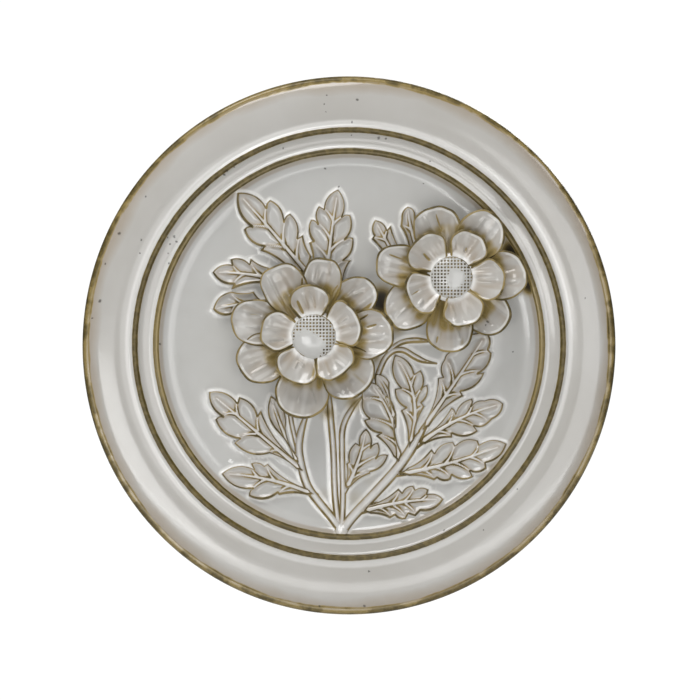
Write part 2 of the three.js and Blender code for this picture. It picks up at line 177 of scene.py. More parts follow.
def pocket_cutter():
    """The room that the hanging pocket takes out of the back."""
    radius, depth = POCKET["entry"] * MM, POCKET["depth"]
    entry = bmesh.new()
    bmesh.ops.create_cone(
        entry, cap_ends=True, segments=40, radius1=radius, radius2=radius, depth=2 * depth * MM,
    )
    bmesh.ops.rotate(entry, verts=entry.verts, matrix=Matrix.Rotation(math.pi / 2, 3, "X"))
    bmesh.ops.translate(entry, verts=entry.verts, vec=(0, 0, POCKET["up"] * MM))
    middle = POCKET["up"] + POCKET["rise"] / 2
    behind_lip = depth - POCKET["lip"]
    slot = box((POCKET["slot"], 2 * depth, POCKET["rise"]), (0, 0, middle))
    undercut_middle = (0, -(POCKET["lip"] + behind_lip / 2), middle)
    return [entry, slot, box((POCKET["undercut"], behind_lip, POCKET["rise"]), undercut_middle)]


def cut(mesh, cutters):
    """The bmesh with each cutter's room taken out, as a new bmesh."""
    body = new_object("body_to_cut", mesh)
    used = [body]
    for number, cutter in enumerate(cutters):
        step = body.modifiers.new("cut", "BOOLEAN")
        step.operation = "DIFFERENCE"
        step.solver = "EXACT"
        step.object = new_object(f"cutter_{number}", cutter)
        used.append(step.object)
    view = bpy.context.evaluated_depsgraph_get()
    result = bmesh.new()
    result.from_mesh(body.evaluated_get(view).to_mesh())
    for old in used:
        data = old.data
        bpy.data.objects.remove(old)
        bpy.data.meshes.remove(data)
    return result


# The sprays are pressed with the plate: stems that fan out from one foot against the inner
# ring, and lobed leaves with a raised edge, a raised midrib and a vein to each lobe. Each leaf's
# sides list its corners from base to tip, a tooth and the notch beyond it, as a share of its
# length and a distance from its midrib.
LOBE_BULGE = 0.16
BASE_HOLLOW = -0.07
SHORT_EDGE = 4.2
MIDRIB = {
    "start": -0.03, "end": 0.92, "half_width": 1.1, "tip_half_width": 0.4, "rise": 0.95,
    "slope": 0.9, "fades": 0.65,
}
SIDE_VEIN = {
    "half_width": 0.65, "tip_half_width": 0.3, "rise": 0.75, "slope": 1.0, "fades": 0.35,
    "length": 0.78, "slant": 0.75, "bend": 0.3, "lean": 0.02, "first_root": 0.02,
    "least_reach": 4.5,
}
EDGE_RIDGE = {"rise": 0.3, "inset": 0.45, "half_width": 0.55}
GROOVE = {"depth": 0.22, "beside": 0.5, "half_width": 0.6, "fork_depth": 0.25}
BLADE_DISH = 1.0
FILLET = {"height": 0.45, "reach": 1.1}
STALK = {"back": 3.2, "forward": 7.0, "thickness": 2.5}
FOOT = {"x": -4.0, "y": -103.8, "radius": 3.8, "height": 3.0, "bare_edge": 0.4, "inside": 3.0}
RELIEF_REACH = 7.0
NOWHERE = 9.0


def smoothstep(low, high, value):
    share = np.clip((value - low) / (high - low), 0.0, 1.0)
    return share * share * (3.0 - 2.0 * share)


def bell(value):
    return np.exp(-value ** 2)


def bowed(start, pull, end, share):
    """The point at this share of a line from start to end that is pulled towards a point."""
    return (1 - share) ** 2 * start + 2 * share * (1 - share) * pull + share ** 2 * end


def midrib_point(leaf, share):
    """The point at this share of the midrib, and the direction to its left."""
    base, tip = leaf["base"], leaf["tip"]
    along = (tip - base) / leaf["length"]
    pull = (base + tip) / 2 + 2 * leaf["bow"] * np.array((-along[1], along[0]))
    heading = 2 * (1 - share) * (pull - base) + 2 * share * (tip - pull)
    heading /= np.linalg.norm(heading)
    return bowed(base, pull, tip, share), np.array((-heading[1], heading[0]))


def midrib_line(leaf, start, end, count):
    return np.array([midrib_point(leaf, share)[0] for share in np.linspace(start, end, count)])


def beside_midrib(leaf, share, out):
    point, left = midrib_point(leaf, share)
    return point + left * out


def lobe_edge(start, end, by_base):
    """The edge from one corner to the next, bowed outwards where it is long, or hollow by the base."""
    chord = end - start
    length = float(np.linalg.norm(chord))
    bulge = BASE_HOLLOW if by_base else LOBE_BULGE if length > SHORT_EDGE else 0.0
    outward = np.array((-chord[1], chord[0])) * bulge
    steps = max(2, round(length / 1.5))
    shares = np.arange(steps) / steps
    return start + shares[:, None] * chord + (4 * shares * (1 - shares))[:, None] * outward


def leaf_outline(leaf, left, right):
    left = [beside_midrib(leaf, share, out) for share, out in left]
    right = [beside_midrib(leaf, share, -out) for share, out in reversed(right)]
    corners = [midrib_point(leaf, MIDRIB["start"])[0], *left, leaf["tip"], *right]
    count = len(corners)
    by_base = (0, 1, count - 2, count - 1)
    edges = [lobe_edge(corners[i], corners[(i + 1) % count], i in by_base) for i in range(count)]
    return np.concatenate(edges)


def side_veins(leaf, left, right):
    """The line of each side vein, from the midrib towards the tooth of its lobe."""
    shares = np.linspace(0, 1, 9)[:, None]
    lines = []
    for side, corners in ((1, left), (-1, right)):
        for share, out in corners[1::2]:
            if out < SIDE_VEIN["least_reach"]:
                continue
            root = max(SIDE_VEIN["first_root"], share - out * SIDE_VEIN["slant"] / leaf["length"])
            halfway = (root + share) / 2 + SIDE_VEIN["lean"]
            start = midrib_point(leaf, root)[0]
            bend = beside_midrib(leaf, halfway, side * out * SIDE_VEIN["bend"])
            end = beside_midrib(leaf, share, side * out * SIDE_VEIN["length"])
            lines.append(bowed(start, bend, end, shares))
    return lines


def cut_leaf(base, tip, bow, rise, left, right, veining=1.0):
    """A leaf by its base, tip and sides, with the lines of its outline, midrib and veins."""
    base, tip = np.array(base, float), np.array(tip, float)
    leaf = {"base": base, "tip": tip, "bow": bow, "rise": rise, "veining": veining}
    leaf["length"] = float(np.linalg.norm(tip - base))
    leaf["outline"] = leaf_outline(leaf, left, right)
    leaf["midrib"] = midrib_line(leaf, MIDRIB["start"], MIDRIB["end"], 25)
    leaf["side_veins"] = side_veins(leaf, left, right)
    return leaf


def roll_stem(thickness, corners):
    return {"thickness": thickness, "path": smooth_line(corners, 6)}


def leaf_stalk(leaf):
    """The short stem that joins a leaf's base to the stem it grows from."""
    back, forward = STALK["back"] / leaf["length"], STALK["forward"] / leaf["length"]
    return {"thickness": STALK["thickness"], "path": midrib_line(leaf, -back, forward, 9)}


def to_line(points, line):
    """The distance of each point to an open line, and the share of the line it is nearest to."""
    start, edge = line[:-1], np.diff(line, axis=0)
    offset = points[:, None, :] - start[None, :, :]
    share = np.clip((offset * edge).sum(2) / (edge * edge).sum(1), 0.0, 1.0)
    gap = np.sqrt(((offset - share[..., None] * edge) ** 2).sum(2))
    nearest = gap.argmin(1)
    row = np.arange(len(points))
    return gap[row, nearest], (nearest + share[row, nearest]) / len(edge)


def inside_by(points, outline):
    """How far inside a closed outline each point is, below zero outside it, and how much the
    nearest edge faces up."""
    closed = np.concatenate([outline, outline[:1]])
    distance, where = to_line(points, closed)
    start, end = closed[:-1], closed[1:]
    x, y = points[:, :1], points[:, 1:]
    spans = (start[:, 1] > y) != (end[:, 1] > y)
    drop = np.where(end[:, 1] == start[:, 1], 1.0, end[:, 1] - start[:, 1])
    crossing = start[:, 0] + (y - start[:, 1]) * (end[:, 0] - start[:, 0]) / drop
    odd = (spans & (x < crossing)).sum(1) % 2 == 1
    edge = end - start
    turns_left = np.sign((start[:, 0] * end[:, 1] - end[:, 0] * start[:, 1]).sum())
    facing = -turns_left * edge[:, 0] / np.hypot(edge[:, 0], edge[:, 1])
    nearest = np.minimum((where * len(edge)).astype(int), len(edge) - 1)
    return np.where(odd, distance, -distance), facing[nearest]


def ridge(beside, slope):
    """One on a ridge's flat top, falling to zero over the slope at its side."""
    return smoothstep(slope / 2, -slope / 2, beside)


def taper(shape, share):
    return shape["half_width"] + (shape["tip_half_width"] - shape["half_width"]) * share


def fillet_at(inside):
    return FILLET["height"] * np.exp(np.minimum(inside, 0.0) / FILLET["reach"])


def leaf_relief(points, leaf):
    """A leaf's height at each point, and what its glaze reads there: how far inside the
    outline, how much that edge faces up, how far from a vein, how brown and how forked it is."""
    inside, facing = inside_by(points, leaf["outline"])
    middle, share = to_line(points, leaf["midrib"])
    beside_rib = middle - taper(MIDRIB, share)
    brown = smoothstep(1.0, MIDRIB["fades"], share)
    ribs = MIDRIB["rise"] * brown * ridge(beside_rib, MIDRIB["slope"])
    vein, fork = beside_rib, np.zeros(len(points))
    for line in leaf["side_veins"]:
        gap, part = to_line(points, line)
        beside = gap - taper(SIDE_VEIN, part)
        rise = leaf["veining"] * SIDE_VEIN["rise"] * (1 - part) ** 0.5
        ribs = np.maximum(ribs, rise * ridge(beside, SIDE_VEIN["slope"]))
        vein_brown = leaf["veining"] * smoothstep(1.0, SIDE_VEIN["fades"], part)
        brown = np.where(beside < vein, vein_brown, brown)
        in_fork = smoothstep(2.0, 0.3, beside) * smoothstep(4.4, 0.6, beside_rib)
        fork = np.maximum(fork, in_fork * smoothstep(0.0, 0.3, beside))
        vein = np.minimum(vein, beside)
    fork *= smoothstep(0.0, 0.3, beside_rib) * smoothstep(0.8, 0.5, share)
    groove = GROOVE["depth"] * brown * bell((vein - GROOVE["beside"]) / GROOVE["half_width"])
    groove += GROOVE["fork_depth"] * fork
    dish = BLADE_DISH * smoothstep(0.5, 3.2, inside) * smoothstep(-0.6, 2.6, vein)
    lip = EDGE_RIDGE["rise"] * bell((inside - EDGE_RIDGE["inset"]) / EDGE_RIDGE["half_width"])
    wall = smoothstep(-0.75, 0.3, inside)
    top = np.maximum((leaf["rise"] - dish - groove + ribs + lip) * wall, 0.0)
    return top + fillet_at(inside) * (1 - wall), inside, facing, vein, brown, fork


def stem_relief(points, stem):
    """The same for a stem, a round rod bedded in the field."""
    distance, share = to_line(points, stem["path"])
    radius = stem["thickness"] / 2 * (1 - 0.75 * smoothstep(0.72, 1.0, share))
    inside = radius - distance
    round_top = np.sqrt(np.maximum(radius ** 2 - distance ** 2, 0.0)) * 1.05
    higher, _ = to_line(points + (0.0, 0.05), stem["path"])
    facing = (higher - distance) / 0.05
    none = np.zeros(len(points))
    return np.maximum(round_top, fillet_at(inside)), inside, facing, none + NOWHERE, none, none


def foot_relief(points, foot):
    """The same for the knob where the stems meet."""
    distance = np.hypot(points[:, 0] - foot["x"], points[:, 1] - foot["y"])
    dome = np.sqrt(np.maximum(1 - (distance / foot["radius"]) ** 2, 0.0)) * foot["height"]
    none = np.zeros(len(points))
    on_knob = distance < foot["radius"] - foot["bare_edge"]
    inside = np.where(on_knob, foot["inside"], -RELIEF_REACH)
    return dome, inside, none, none + NOWHERE, none, none


LEAVES = [
    # long leaf, upper left
    cut_leaf((-23.5, 41), (-62.2, 84.5), bow=-0.3, rise=2.6, veining=0.45,
        left=[(0.1, 6), (0.45, 11.7), (0.45, 8.8), (0.7, 11.1), (0.67, 6.8)],
        right=[(0.09, 7.5), (0.29, 11.5), (0.3, 8), (0.52, 13.9), (0.5, 8.4), (0.74, 10.6), (0.71, 6.1)]),
    # upright leaf, upper middle
    cut_leaf((-12.9, 31), (-6.2, 86.5), bow=0.7, rise=2.2, veining=0.5,
        left=[(0.2, 8.5), (0.45, 11.5), (0.47, 9.5), (0.67, 12.3), (0.64, 8.2), (0.81, 9), (0.79, 6)],
        right=[(0.1, 9), (0.32, 12.2), (0.31, 8.1), (0.55, 12.2), (0.52, 7.8), (0.77, 8.9), (0.74, 4.6)]),
    # leaf behind the left flower, upper left
    cut_leaf((-35.8, 36), (-76.2, 40.3), bow=-1.3, rise=2.4, veining=0.6,
        left=[(0.25, 3), (0.73, 8.9), (0.7, 6.2)],
        right=[(0.26, 5.3), (0.5, 8.7), (0.51, 5.6), (0.76, 7.4), (0.74, 4.3)]),
    # leaf tip below it
    cut_leaf((-48.7, 24.3), (-75.9, 19.8), bow=-0.5, rise=1.8,
        left=[(0.15, 4), (0.65, 4.6)],
        right=[(0.15, 6), (0.58, 7.6)]),
    # leaf tips behind the right flower
    cut_leaf((31, 40.2), (14.6, 69.7), bow=0.1, rise=2.2,
        left=[(0.1, 5), (0.76, 6.3), (0.79, 4.4)],
        right=[(0.1, 6), (0.79, 6), (0.76, 3.2)]),
    cut_leaf((38.6, 53), (32.8, 76.9), bow=0.9, rise=1.8,
        left=[(0.05, 4.6), (0.62, 5.2), (0.77, 4)],
        right=[(0.05, 4), (0.85, 3.6)]),
    # long leaf, lower left
    cut_leaf((-27.4, -69.2), (-78.1, -26.7), bow=-0.1, rise=2.4,
        left=[(0.02, 1.6), (0.28, 4.5), (0.56, 13), (0.55, 9.2), (0.81, 9.7), (0.78, 5.8)],
        right=[(0.05, 1.8), (0.57, 10.7), (0.56, 7), (0.78, 8.6), (0.76, 5.4)]),
    # flat leaf, lower left
    cut_leaf((-21.3, -83.2), (-71.1, -72.6), bow=-2.3, rise=2.2,
        left=[(0.02, 1.6), (0.33, 6.8), (0.35, 6), (0.67, 11), (0.64, 6.6)],
        right=[(0.04, 1.4), (0.53, 8.6), (0.56, 7), (0.7, 7.2), (0.66, 4.1)]),
    # slender leaf under the left flower
    cut_leaf((-28.6, -65.3), (-43.7, -28.3), bow=1.1, rise=2,
        left=[(0.05, 1.6), (0.5, 2.9)],
        right=[(0.05, 1), (0.5, 1.6)]),
    # low leaf at the right of the foot
    cut_leaf((9, -93.3), (52.6, -86.9), bow=1.7, rise=2.2,
        left=[(0.06, 2.4), (0.46, 7.8), (0.5, 5.2), (0.64, 8.4), (0.66, 6), (0.82, 5.5), (0.8, 2.9)],
        right=[(0.06, 2.4), (0.29, 7.4), (0.36, 6.3), (0.49, 9.4), (0.54, 6.8), (0.63, 8.5), (0.7, 5.8)]),
    # long leaf that reaches the inner ring
    cut_leaf((27.4, -72.6), (87.9, -55.8), bow=-1.9, rise=2.6,
        left=[(0.1, 2.6), (0.34, 10.1), (0.36, 7.5), (0.55, 10.9), (0.56, 8.5), (0.77, 7.3), (0.77, 4.6)],
        right=[
            (0.1, 1.8), (0.3, 7.1), (0.33, 6.3), (0.44, 9), (0.46, 6.8),
            (0.63, 11.1), (0.62, 7.4), (0.76, 8.9), (0.77, 5.8),
        ]),
    # leaf above it
    cut_leaf((40.3, -54.7), (86.2, -33.4), bow=2.9, rise=2.4,
        left=[(0.05, 2), (0.47, 7.7), (0.48, 3.3), (0.7, 7.7), (0.66, 3.8), (0.82, 4.3)],
        right=[(0.03, 1.8), (0.32, 7.2), (0.34, 5.1), (0.63, 10.6), (0.61, 7), (0.78, 8.3), (0.84, 6.8)]),
    # tall leaf under the right flower
    cut_leaf((42, -45.7), (77.3, 6.4), bow=-0.3, rise=2.2,
        left=[(0.05, 1.4), (0.43, 9.1), (0.46, 7.1), (0.6, 12), (0.7, 11)],
        right=[(0.03, 2), (0.42, 8.1), (0.44, 5.4), (0.69, 10.8), (0.65, 7.9), (0.87, 8), (0.88, 5.6)]),
    # upright leaf, middle
    cut_leaf((34.2, -55.8), (25.8, -5.4), bow=-6.4, rise=2.6,
        left=[(0.04, 1.8), (0.37, 7.8), (0.4, 4.9), (0.66, 9), (0.65, 5.8)],
        right=[(0.05, 1.2), (0.4, 5.2), (0.44, 3.7), (0.6, 8.8), (0.57, 4.9), (0.75, 8), (0.74, 3.9)]),
    # leaf tucked under the left flower
    cut_leaf((28, -64.2), (11.2, -20.5), bow=-4.4, rise=2,
        left=[(0.04, 3), (0.34, 11), (0.36, 8.1), (0.62, 14.4), (0.61, 11.4), (0.88, 9.2)],
        right=[(0.06, 1.6), (0.5, 2), (0.8, 2.4)]),
    # narrow leaf beside it
    cut_leaf((25.2, -41.8), (15.1, -16), bow=-2.5, rise=1.7,
        left=[(0.1, 2), (0.6, 3.4)],
        right=[(0.1, 1.4), (0.72, 3.2)]),
    # small lobed leaf over the foot
    cut_leaf((-1.1, -79.9), (9.5, -46.8), bow=-1.4, rise=2.3,
        left=[(0.04, 1.6), (0.36, 5.6), (0.4, 4.6), (0.74, 4.2), (0.72, 1.8)],
        right=[(0.04, 1.6), (0.34, 8.6), (0.36, 8.2), (0.68, 15), (0.58, 9), (0.82, 8), (0.72, 4.6)]),
]

STEMS = [
    roll_stem(4.4, [
        (-5.2, -103), (-10.6, -96), (-17.4, -87.7), (-23.5, -78.5), (-27.4, -64.2), (-28, -54),
        (-25, -42), (-19, -28)]),
    roll_stem(2.6, [(-27.4, -64.2), (-30, -53), (-32.5, -41.5), (-33.5, -30)]),
    roll_stem(3.4, [(-6, -101), (-7.8, -84), (-8.8, -58), (-10.6, -36), (-11.5, -20)]),
    roll_stem(3.2, [(-4, -101), (-3.4, -84), (-3.9, -60), (-3.4, -46), (1.5, -35.5), (8, -28)]),
    roll_stem(5.4, [(-2.8, -103), (2.4, -96.3), (15.2, -82.6), (28, -68), (38, -52.8), (43.4, -45)]),
    roll_stem(2.8, [(2.6, -96.6), (10.4, -91.6), (18, -88.6)]),
    roll_stem(3, [
        (15.6, -18), (19.6, -8.2), (24.5, -3.2), (30.5, -2.6), (36.5, -6), (42, -8.6), (49, -10)]),
    roll_stem(2.6, [(22, -3), (29, 1.6), (36, 3), (46, 2.5)]),
]

reliefs = [(leaf_relief, leaf, leaf["outline"]) for leaf in LEAVES]
rods = [leaf_stalk(leaf) for leaf in LEAVES] + STEMS
reliefs += [(stem_relief, rod, rod["path"]) for rod in rods]
reliefs.append((foot_relief, FOOT, np.array([(FOOT["x"], FOOT["y"])])))
LEAF_MARKS = ("inside_mm", "facing_up", "vein_mm", "vein_brown", "fork")


def sprays_at(points):
    """The sprays' height at each point, and a row for each of the leaf marks."""
    height = np.zeros(len(points))
    marks = np.zeros((len(LEAF_MARKS), len(points)))
    marks[0] = -RELIEF_REACH
    marks[2] = NOWHERE
    for shape, item, line in reliefs:
        low, high = line.min(0) - RELIEF_REACH, line.max(0) + RELIEF_REACH
        near = np.flatnonzero(((points > low) & (points < high)).all(1))
        if not len(near):
            continue
        item_height, *item_marks = shape(points[near], item)
        inside_now = marks[0, near]
        on_top = (item_height >= height[near]) & (item_marks[0] > 0)
        nearer = (inside_now <= 0) & (item_marks[0] > inside_now) & ~on_top
        marks[:2, near] = np.where(on_top | nearer, np.array(item_marks[:2]), marks[:2, near])
        marks[2:, near] = np.where(on_top, np.array(item_marks[2:]), marks[2:, near])
        height[near] = np.maximum(height[near], item_height)
    return height, marks


FLOWER_SPOTS = [(-19.6, 5.0), (57.1, 37.8)]
HIDDEN_RADIUS = 27.0
FINER_BANDS = [(-2.6, 99.0), (-1.3, 99.0), (-0.52, 0.32)]


def refine(mesh, low, high):
    """Halves the front disc's cells from low to high inside the sprays' outlines, except where
    the flowers hide them."""
    middles = np.array([face.calc_center_median() for face in mesh.faces]) / MM
    points = middles[:, [0, 2]]
    inside = sprays_at(points)[1][0]
    chosen = (inside > low) & (inside < high) & (-middles[:, 1] > FRONT_FROM)
    chosen &= np.hypot(points[:, 0], points[:, 1]) < RELIEF_RADIUS
    for x, y in FLOWER_SPOTS:
        chosen &= np.hypot(points[:, 0] - x, points[:, 1] - y) > HIDDEN_RADIUS
    edges = {edge for face, pick in zip(mesh.faces, chosen) if pick for edge in face.edges}
    bmesh.ops.subdivide_edges(mesh, edges=list(edges), cuts=1, use_grid_fill=True, use_single_edge=True)


# Painted shade: brown painted into the glaze where the flowers stand close over the plate and shadow it,
# and a faint brown tint between the stems. Each spot is a place, a radius and a strength.
PAINTED_SHADE_SPOTS = [
    (91, 52, 6, 1), (99.5, 41, 6.5, 1), (101.5, 33, 5.5, 1), (17.5, 25, 8, 1),
    (14, -6, 5, 0.5), (27, 10, 5, 0.5), (-12, -38, 5, 0.5), (3, -32, 6, 0.5),
    (3, -86, 7, 0.26), (12, -76, 7, 0.2), (-14, -84, 6, 0.22), (-10, -92, 5, 0.24),
    (-2, -62, 5, 0.2), (9, -92, 5, 0.24), (20, -44, 7, 0.2), (38, -40, 7, 0.18),
]


def painted_shade_at(points):
    """How much painted shade each point has, from 0 to 1."""
    painted_shade = np.zeros(len(points))
    for x, y, radius, strength in PAINTED_SHADE_SPOTS:
        gap = np.hypot(points[:, 0] - x, points[:, 1] - y)
        painted_shade = np.maximum(painted_shade, strength * bell(gap / radius))
    return painted_shade


plate = cut(plain_plate(), pocket_cutter())
for low, high in FINER_BANDS:
    refine(plate, low, high)
bmesh.ops.recalc_face_normals(plate, faces=plate.faces)

places = np.array([vert.co for vert in plate.verts]) / MM
flat_points, out = places[:, [0, 2]], -places[:, 1]
radii = np.hypot(flat_points[:, 0], flat_points[:, 1])
in_front = out > FRONT_FROM
in_dish = in_front & (radii < RELIEF_RADIUS)
spray_height, spray_marks = sprays_at(flat_points)
heights = np.where(in_dish, face_height(radii) + spray_height, out)
rim_share = smoothstep(123.5, 144.5, radii)
ring_share = smoothstep(49.0, 98.0, radii) * (1 - rim_share)
face_x = flat_points[:, 0] * (1 - OUT_OF_ROUND * rim_share)
face_y = flat_points[:, 1] * (1 + OUT_OF_ROUND * rim_share) + RING_LIFT * ring_share
for i, vert in enumerate(plate.verts):
    vert.co = (face_x[i] * MM, -heights[i] * MM, face_y[i] * MM)
for face in plate.faces:
    face.smooth = True
plaque_body = new_object("plaque_body", plate)

# Behind the middle of its edge the plate is bare of glaze, and its radius mark goes on past the
# rim, so that the glaze can end there.
UNDER_SIDE_RADIUS = 143.0
PAST_RIM = 3.0
BARE_MARK = 162.6
past_edge = PAST_RIM * np.maximum(0.0, EDGE_MIDDLE - out) * (radii > UNDER_SIDE_RADIUS)
under_side = ~in_front & (radii < UNDER_SIDE_RADIUS) | (out < 1.0)
radius_marks = np.where(under_side, BARE_MARK, radii + past_edge)
# The painted shade spots, on the plate's face only.
painted_shade_marks = np.where(in_front & (radii < 146.0), painted_shade_at(flat_points), 0.0)


def add_mark(piece, name, values):
    """A mark on each point of the piece, for its glaze to read."""
    layer = piece.data.attributes.new(name, "FLOAT", "POINT")
    layer.data.foreach_set("value", np.asarray(values, np.float32))


off_face = {"inside_mm": -RELIEF_REACH, "vein_mm": NOWHERE}
for name, values in zip(LEAF_MARKS, spray_marks):
    add_mark(plaque_body, name, np.where(in_dish, values, off_face.get(name, 0.0)))
add_mark(plaque_body, "radius_mm", radius_marks)
add_mark(plaque_body, "painted_shade", painted_shade_marks)


# The glaze: a glossy grey-white stoneware glaze that lies thick and pale beside every edge and
# breaks to olive brown where it runs thin over one. The group below turns the marks into
# colour, roughness and height, and each piece's material gives it its own line widths.
FIELD_GREY = (0.545, 0.537, 0.507, 1.0)
COOL_GREY = (0.59, 0.585, 0.56, 1.0)
POOL_WHITE = (0.90, 0.885, 0.85, 1.0)
LINE_BROWN = (0.074, 0.052, 0.007, 1.0)
LINE_TAN = (0.34, 0.25, 0.085, 1.0)
CLAY_TAN = (0.40, 0.325, 0.24, 1.0)
# The near-black of pinholes and the button's net, and also of painted shade.
PIT_AND_SHADE_BROWN = (0.022, 0.016, 0.009, 1.0)
BARE_CLAY = (0.47, 0.38, 0.27, 1.0)
SPECKLED_CLAY = (0.30, 0.225, 0.15, 1.0)
GLAZE_INPUTS = ("Line", "Pool", "Warmth", "PitAndShade", "Bare")
GLAZE_BUMP = {"Strength": 0.1, "Distance": 0.0008}


class Nodes:
    """A short way to write a shader graph: each call adds a node and feeds its sockets."""

    def __init__(self, tree):
        self.tree = tree

    def feed(self, socket, value):
        if isinstance(value, bpy.types.NodeSocket):
            self.tree.links.new(value, socket)
        else:
            socket.default_value = value

    def add(self, kind, fed=(), **settings):
        """A node with these settings, its sockets fed by name or number."""
        node = self.tree.nodes.new(kind)
        for name, value in settings.items():
            setattr(node, name, value)
        for name, value in dict(fed).items():
            self.feed(node.inputs[name], value)
        return node

    def math(self, operation, *values):
        return self.add("ShaderNodeMath", enumerate(values), operation=operation).outputs[0]

    def vector(self, operation, *values):
        return self.add("ShaderNodeVectorMath", enumerate(values), operation=operation).outputs

    def together(self, operation, first, *others):
        for value in others:
            first = self.math(operation, first, value)
        return first

    def times(self, *values):
        return self.together("MULTIPLY", *values)

    def most(self, *values):
        return self.together("MAXIMUM", *values)

    def plus(self, *values):
        return self.together("ADD", *values)

    def scaled(self, value, factor, start):
        """Start and the value times the factor, added."""
        return self.math("MULTIPLY_ADD", value, factor, start)

    def ramp(self, value, low, high, start=0.0, end=1.0):
        """Value taken smoothly from low..high to start..end."""
        fed = {"Value": value, "From Min": low, "From Max": high, "To Min": start, "To Max": end}
        return self.add("ShaderNodeMapRange", fed, interpolation_type="SMOOTHSTEP").outputs["Result"]

    def band(self, value, middle, half_width, softness):
        """One where value is within half_width of middle, soft at both sides."""
        gap = self.math("ABSOLUTE", self.math("SUBTRACT", value, middle))
        return self.ramp(gap, half_width, self.plus(half_width, softness), 1.0, 0.0)

    def mix(self, share, first, second):
        fed = {"Factor": share, "A": first, "B": second}
        return self.add("ShaderNodeMix", fed, data_type="RGBA").outputs["Result"]

    def noise(self, where, scale, detail=3.0):
        fed = {"Vector": where, "Scale": scale, "Detail": detail, "Roughness": 0.55}
        return self.add("ShaderNodeTexNoise", fed).outputs["Fac"]

    def mark(self, name):
        return self.add("ShaderNodeAttribute", attribute_name=name).outputs["Fac"]


def glaze_group():
    """The glaze's looks from how thin it lies, how deep it pools and where it ends."""
    group = bpy.data.node_groups.new("breaking_glaze", "ShaderNodeTree")
    for name in GLAZE_INPUTS:
        group.interface.new_socket(name, in_out="INPUT", socket_type="NodeSocketFloat")
    group.interface.new_socket("Where", in_out="INPUT", socket_type="NodeSocketVector")
    for name in ("Colour", "Roughness", "Coat", "Height"):
        kind = "NodeSocketColor" if name == "Colour" else "NodeSocketFloat"
        group.interface.new_socket(name, in_out="OUTPUT", socket_type=kind)
    nodes = Nodes(group)
    given = nodes.add("NodeGroupInput").outputs
    line, bare, where = given["Line"], given["Bare"], given["Where"]
    mottle = nodes.noise(where, 260.0, detail=4.0)
    colour = nodes.mix(nodes.ramp(nodes.noise(where, 22.0), 0.3, 0.7), FIELD_GREY, COOL_GREY)
    colour = nodes.mix(nodes.times(given["Warmth"], 0.8), colour, CLAY_TAN)
    colour = nodes.mix(given["Pool"], colour, POOL_WHITE)
    streaked = nodes.ramp(nodes.ramp(mottle, 0.35, 0.7), 0.0, 1.0, 1.0, 0.7)
    brown = nodes.mix(nodes.times(nodes.ramp(line, 0.45, 0.95), streaked), LINE_TAN, LINE_BROWN)
    colour = nodes.mix(nodes.ramp(line, 0.08, 0.6), colour, brown)
    # Pinholes, the button's net and painted shade go near-black here.
    colour = nodes.mix(given["PitAndShade"], colour, PIT_AND_SHADE_BROWN)
    colour = nodes.mix(bare, colour, nodes.mix(mottle, BARE_CLAY, SPECKLED_CLAY))
    rough = nodes.most(nodes.ramp(line, 0.2, 1.0, 0.13, 0.42), nodes.times(bare, 0.8))
    nodes.add("NodeGroupOutput", {
        "Colour": colour,
        "Roughness": nodes.plus(rough, nodes.times(mottle, 0.05)),
        "Coat": nodes.ramp(nodes.most(bare, line), 0.1, 1.0, 0.4, 0.0),
        "Height": nodes.plus(nodes.noise(where, 70.0, detail=2.0), nodes.times(mottle, 0.12)),
    })
    return group


GLAZE = glaze_group()


def glazed_material(name, marks):
    """A glossy glaze. marks(nodes, where) gives what the glaze group reads at each point."""
    material = bpy.data.materials.new(name)
    material.use_nodes = True
    nodes = Nodes(material.node_tree)
    nodes.tree.nodes.clear()
    where = nodes.add("ShaderNodeTexCoord").outputs["Object"]
    fed = dict(zip(GLAZE_INPUTS, marks(nodes, where)), Where=where)
    glaze = nodes.add("ShaderNodeGroup", fed, node_tree=GLAZE).outputs
    raised = nodes.add("ShaderNodeBump", {"Height": glaze["Height"], **GLAZE_BUMP})
    shader = nodes.add("ShaderNodeBsdfPrincipled", {
        "Base Color": glaze["Colour"], "Roughness": glaze["Roughness"], "IOR": 1.5,
        "Coat Weight": glaze["Coat"], "Coat Roughness": 0.06, "Normal": raised.outputs["Normal"],
    })
    nodes.add("ShaderNodeOutputMaterial", {"Surface": shader.outputs["BSDF"]})
    return material


def patchwork(nodes, where, scale):
    """A function that gives values from low to high in patches of this scale."""
    patches = nodes.ramp(nodes.noise(where, scale), 0.38, 0.62)
    return lambda low, high, first=0.0, last=1.0: nodes.ramp(patches, first, last, low, high)


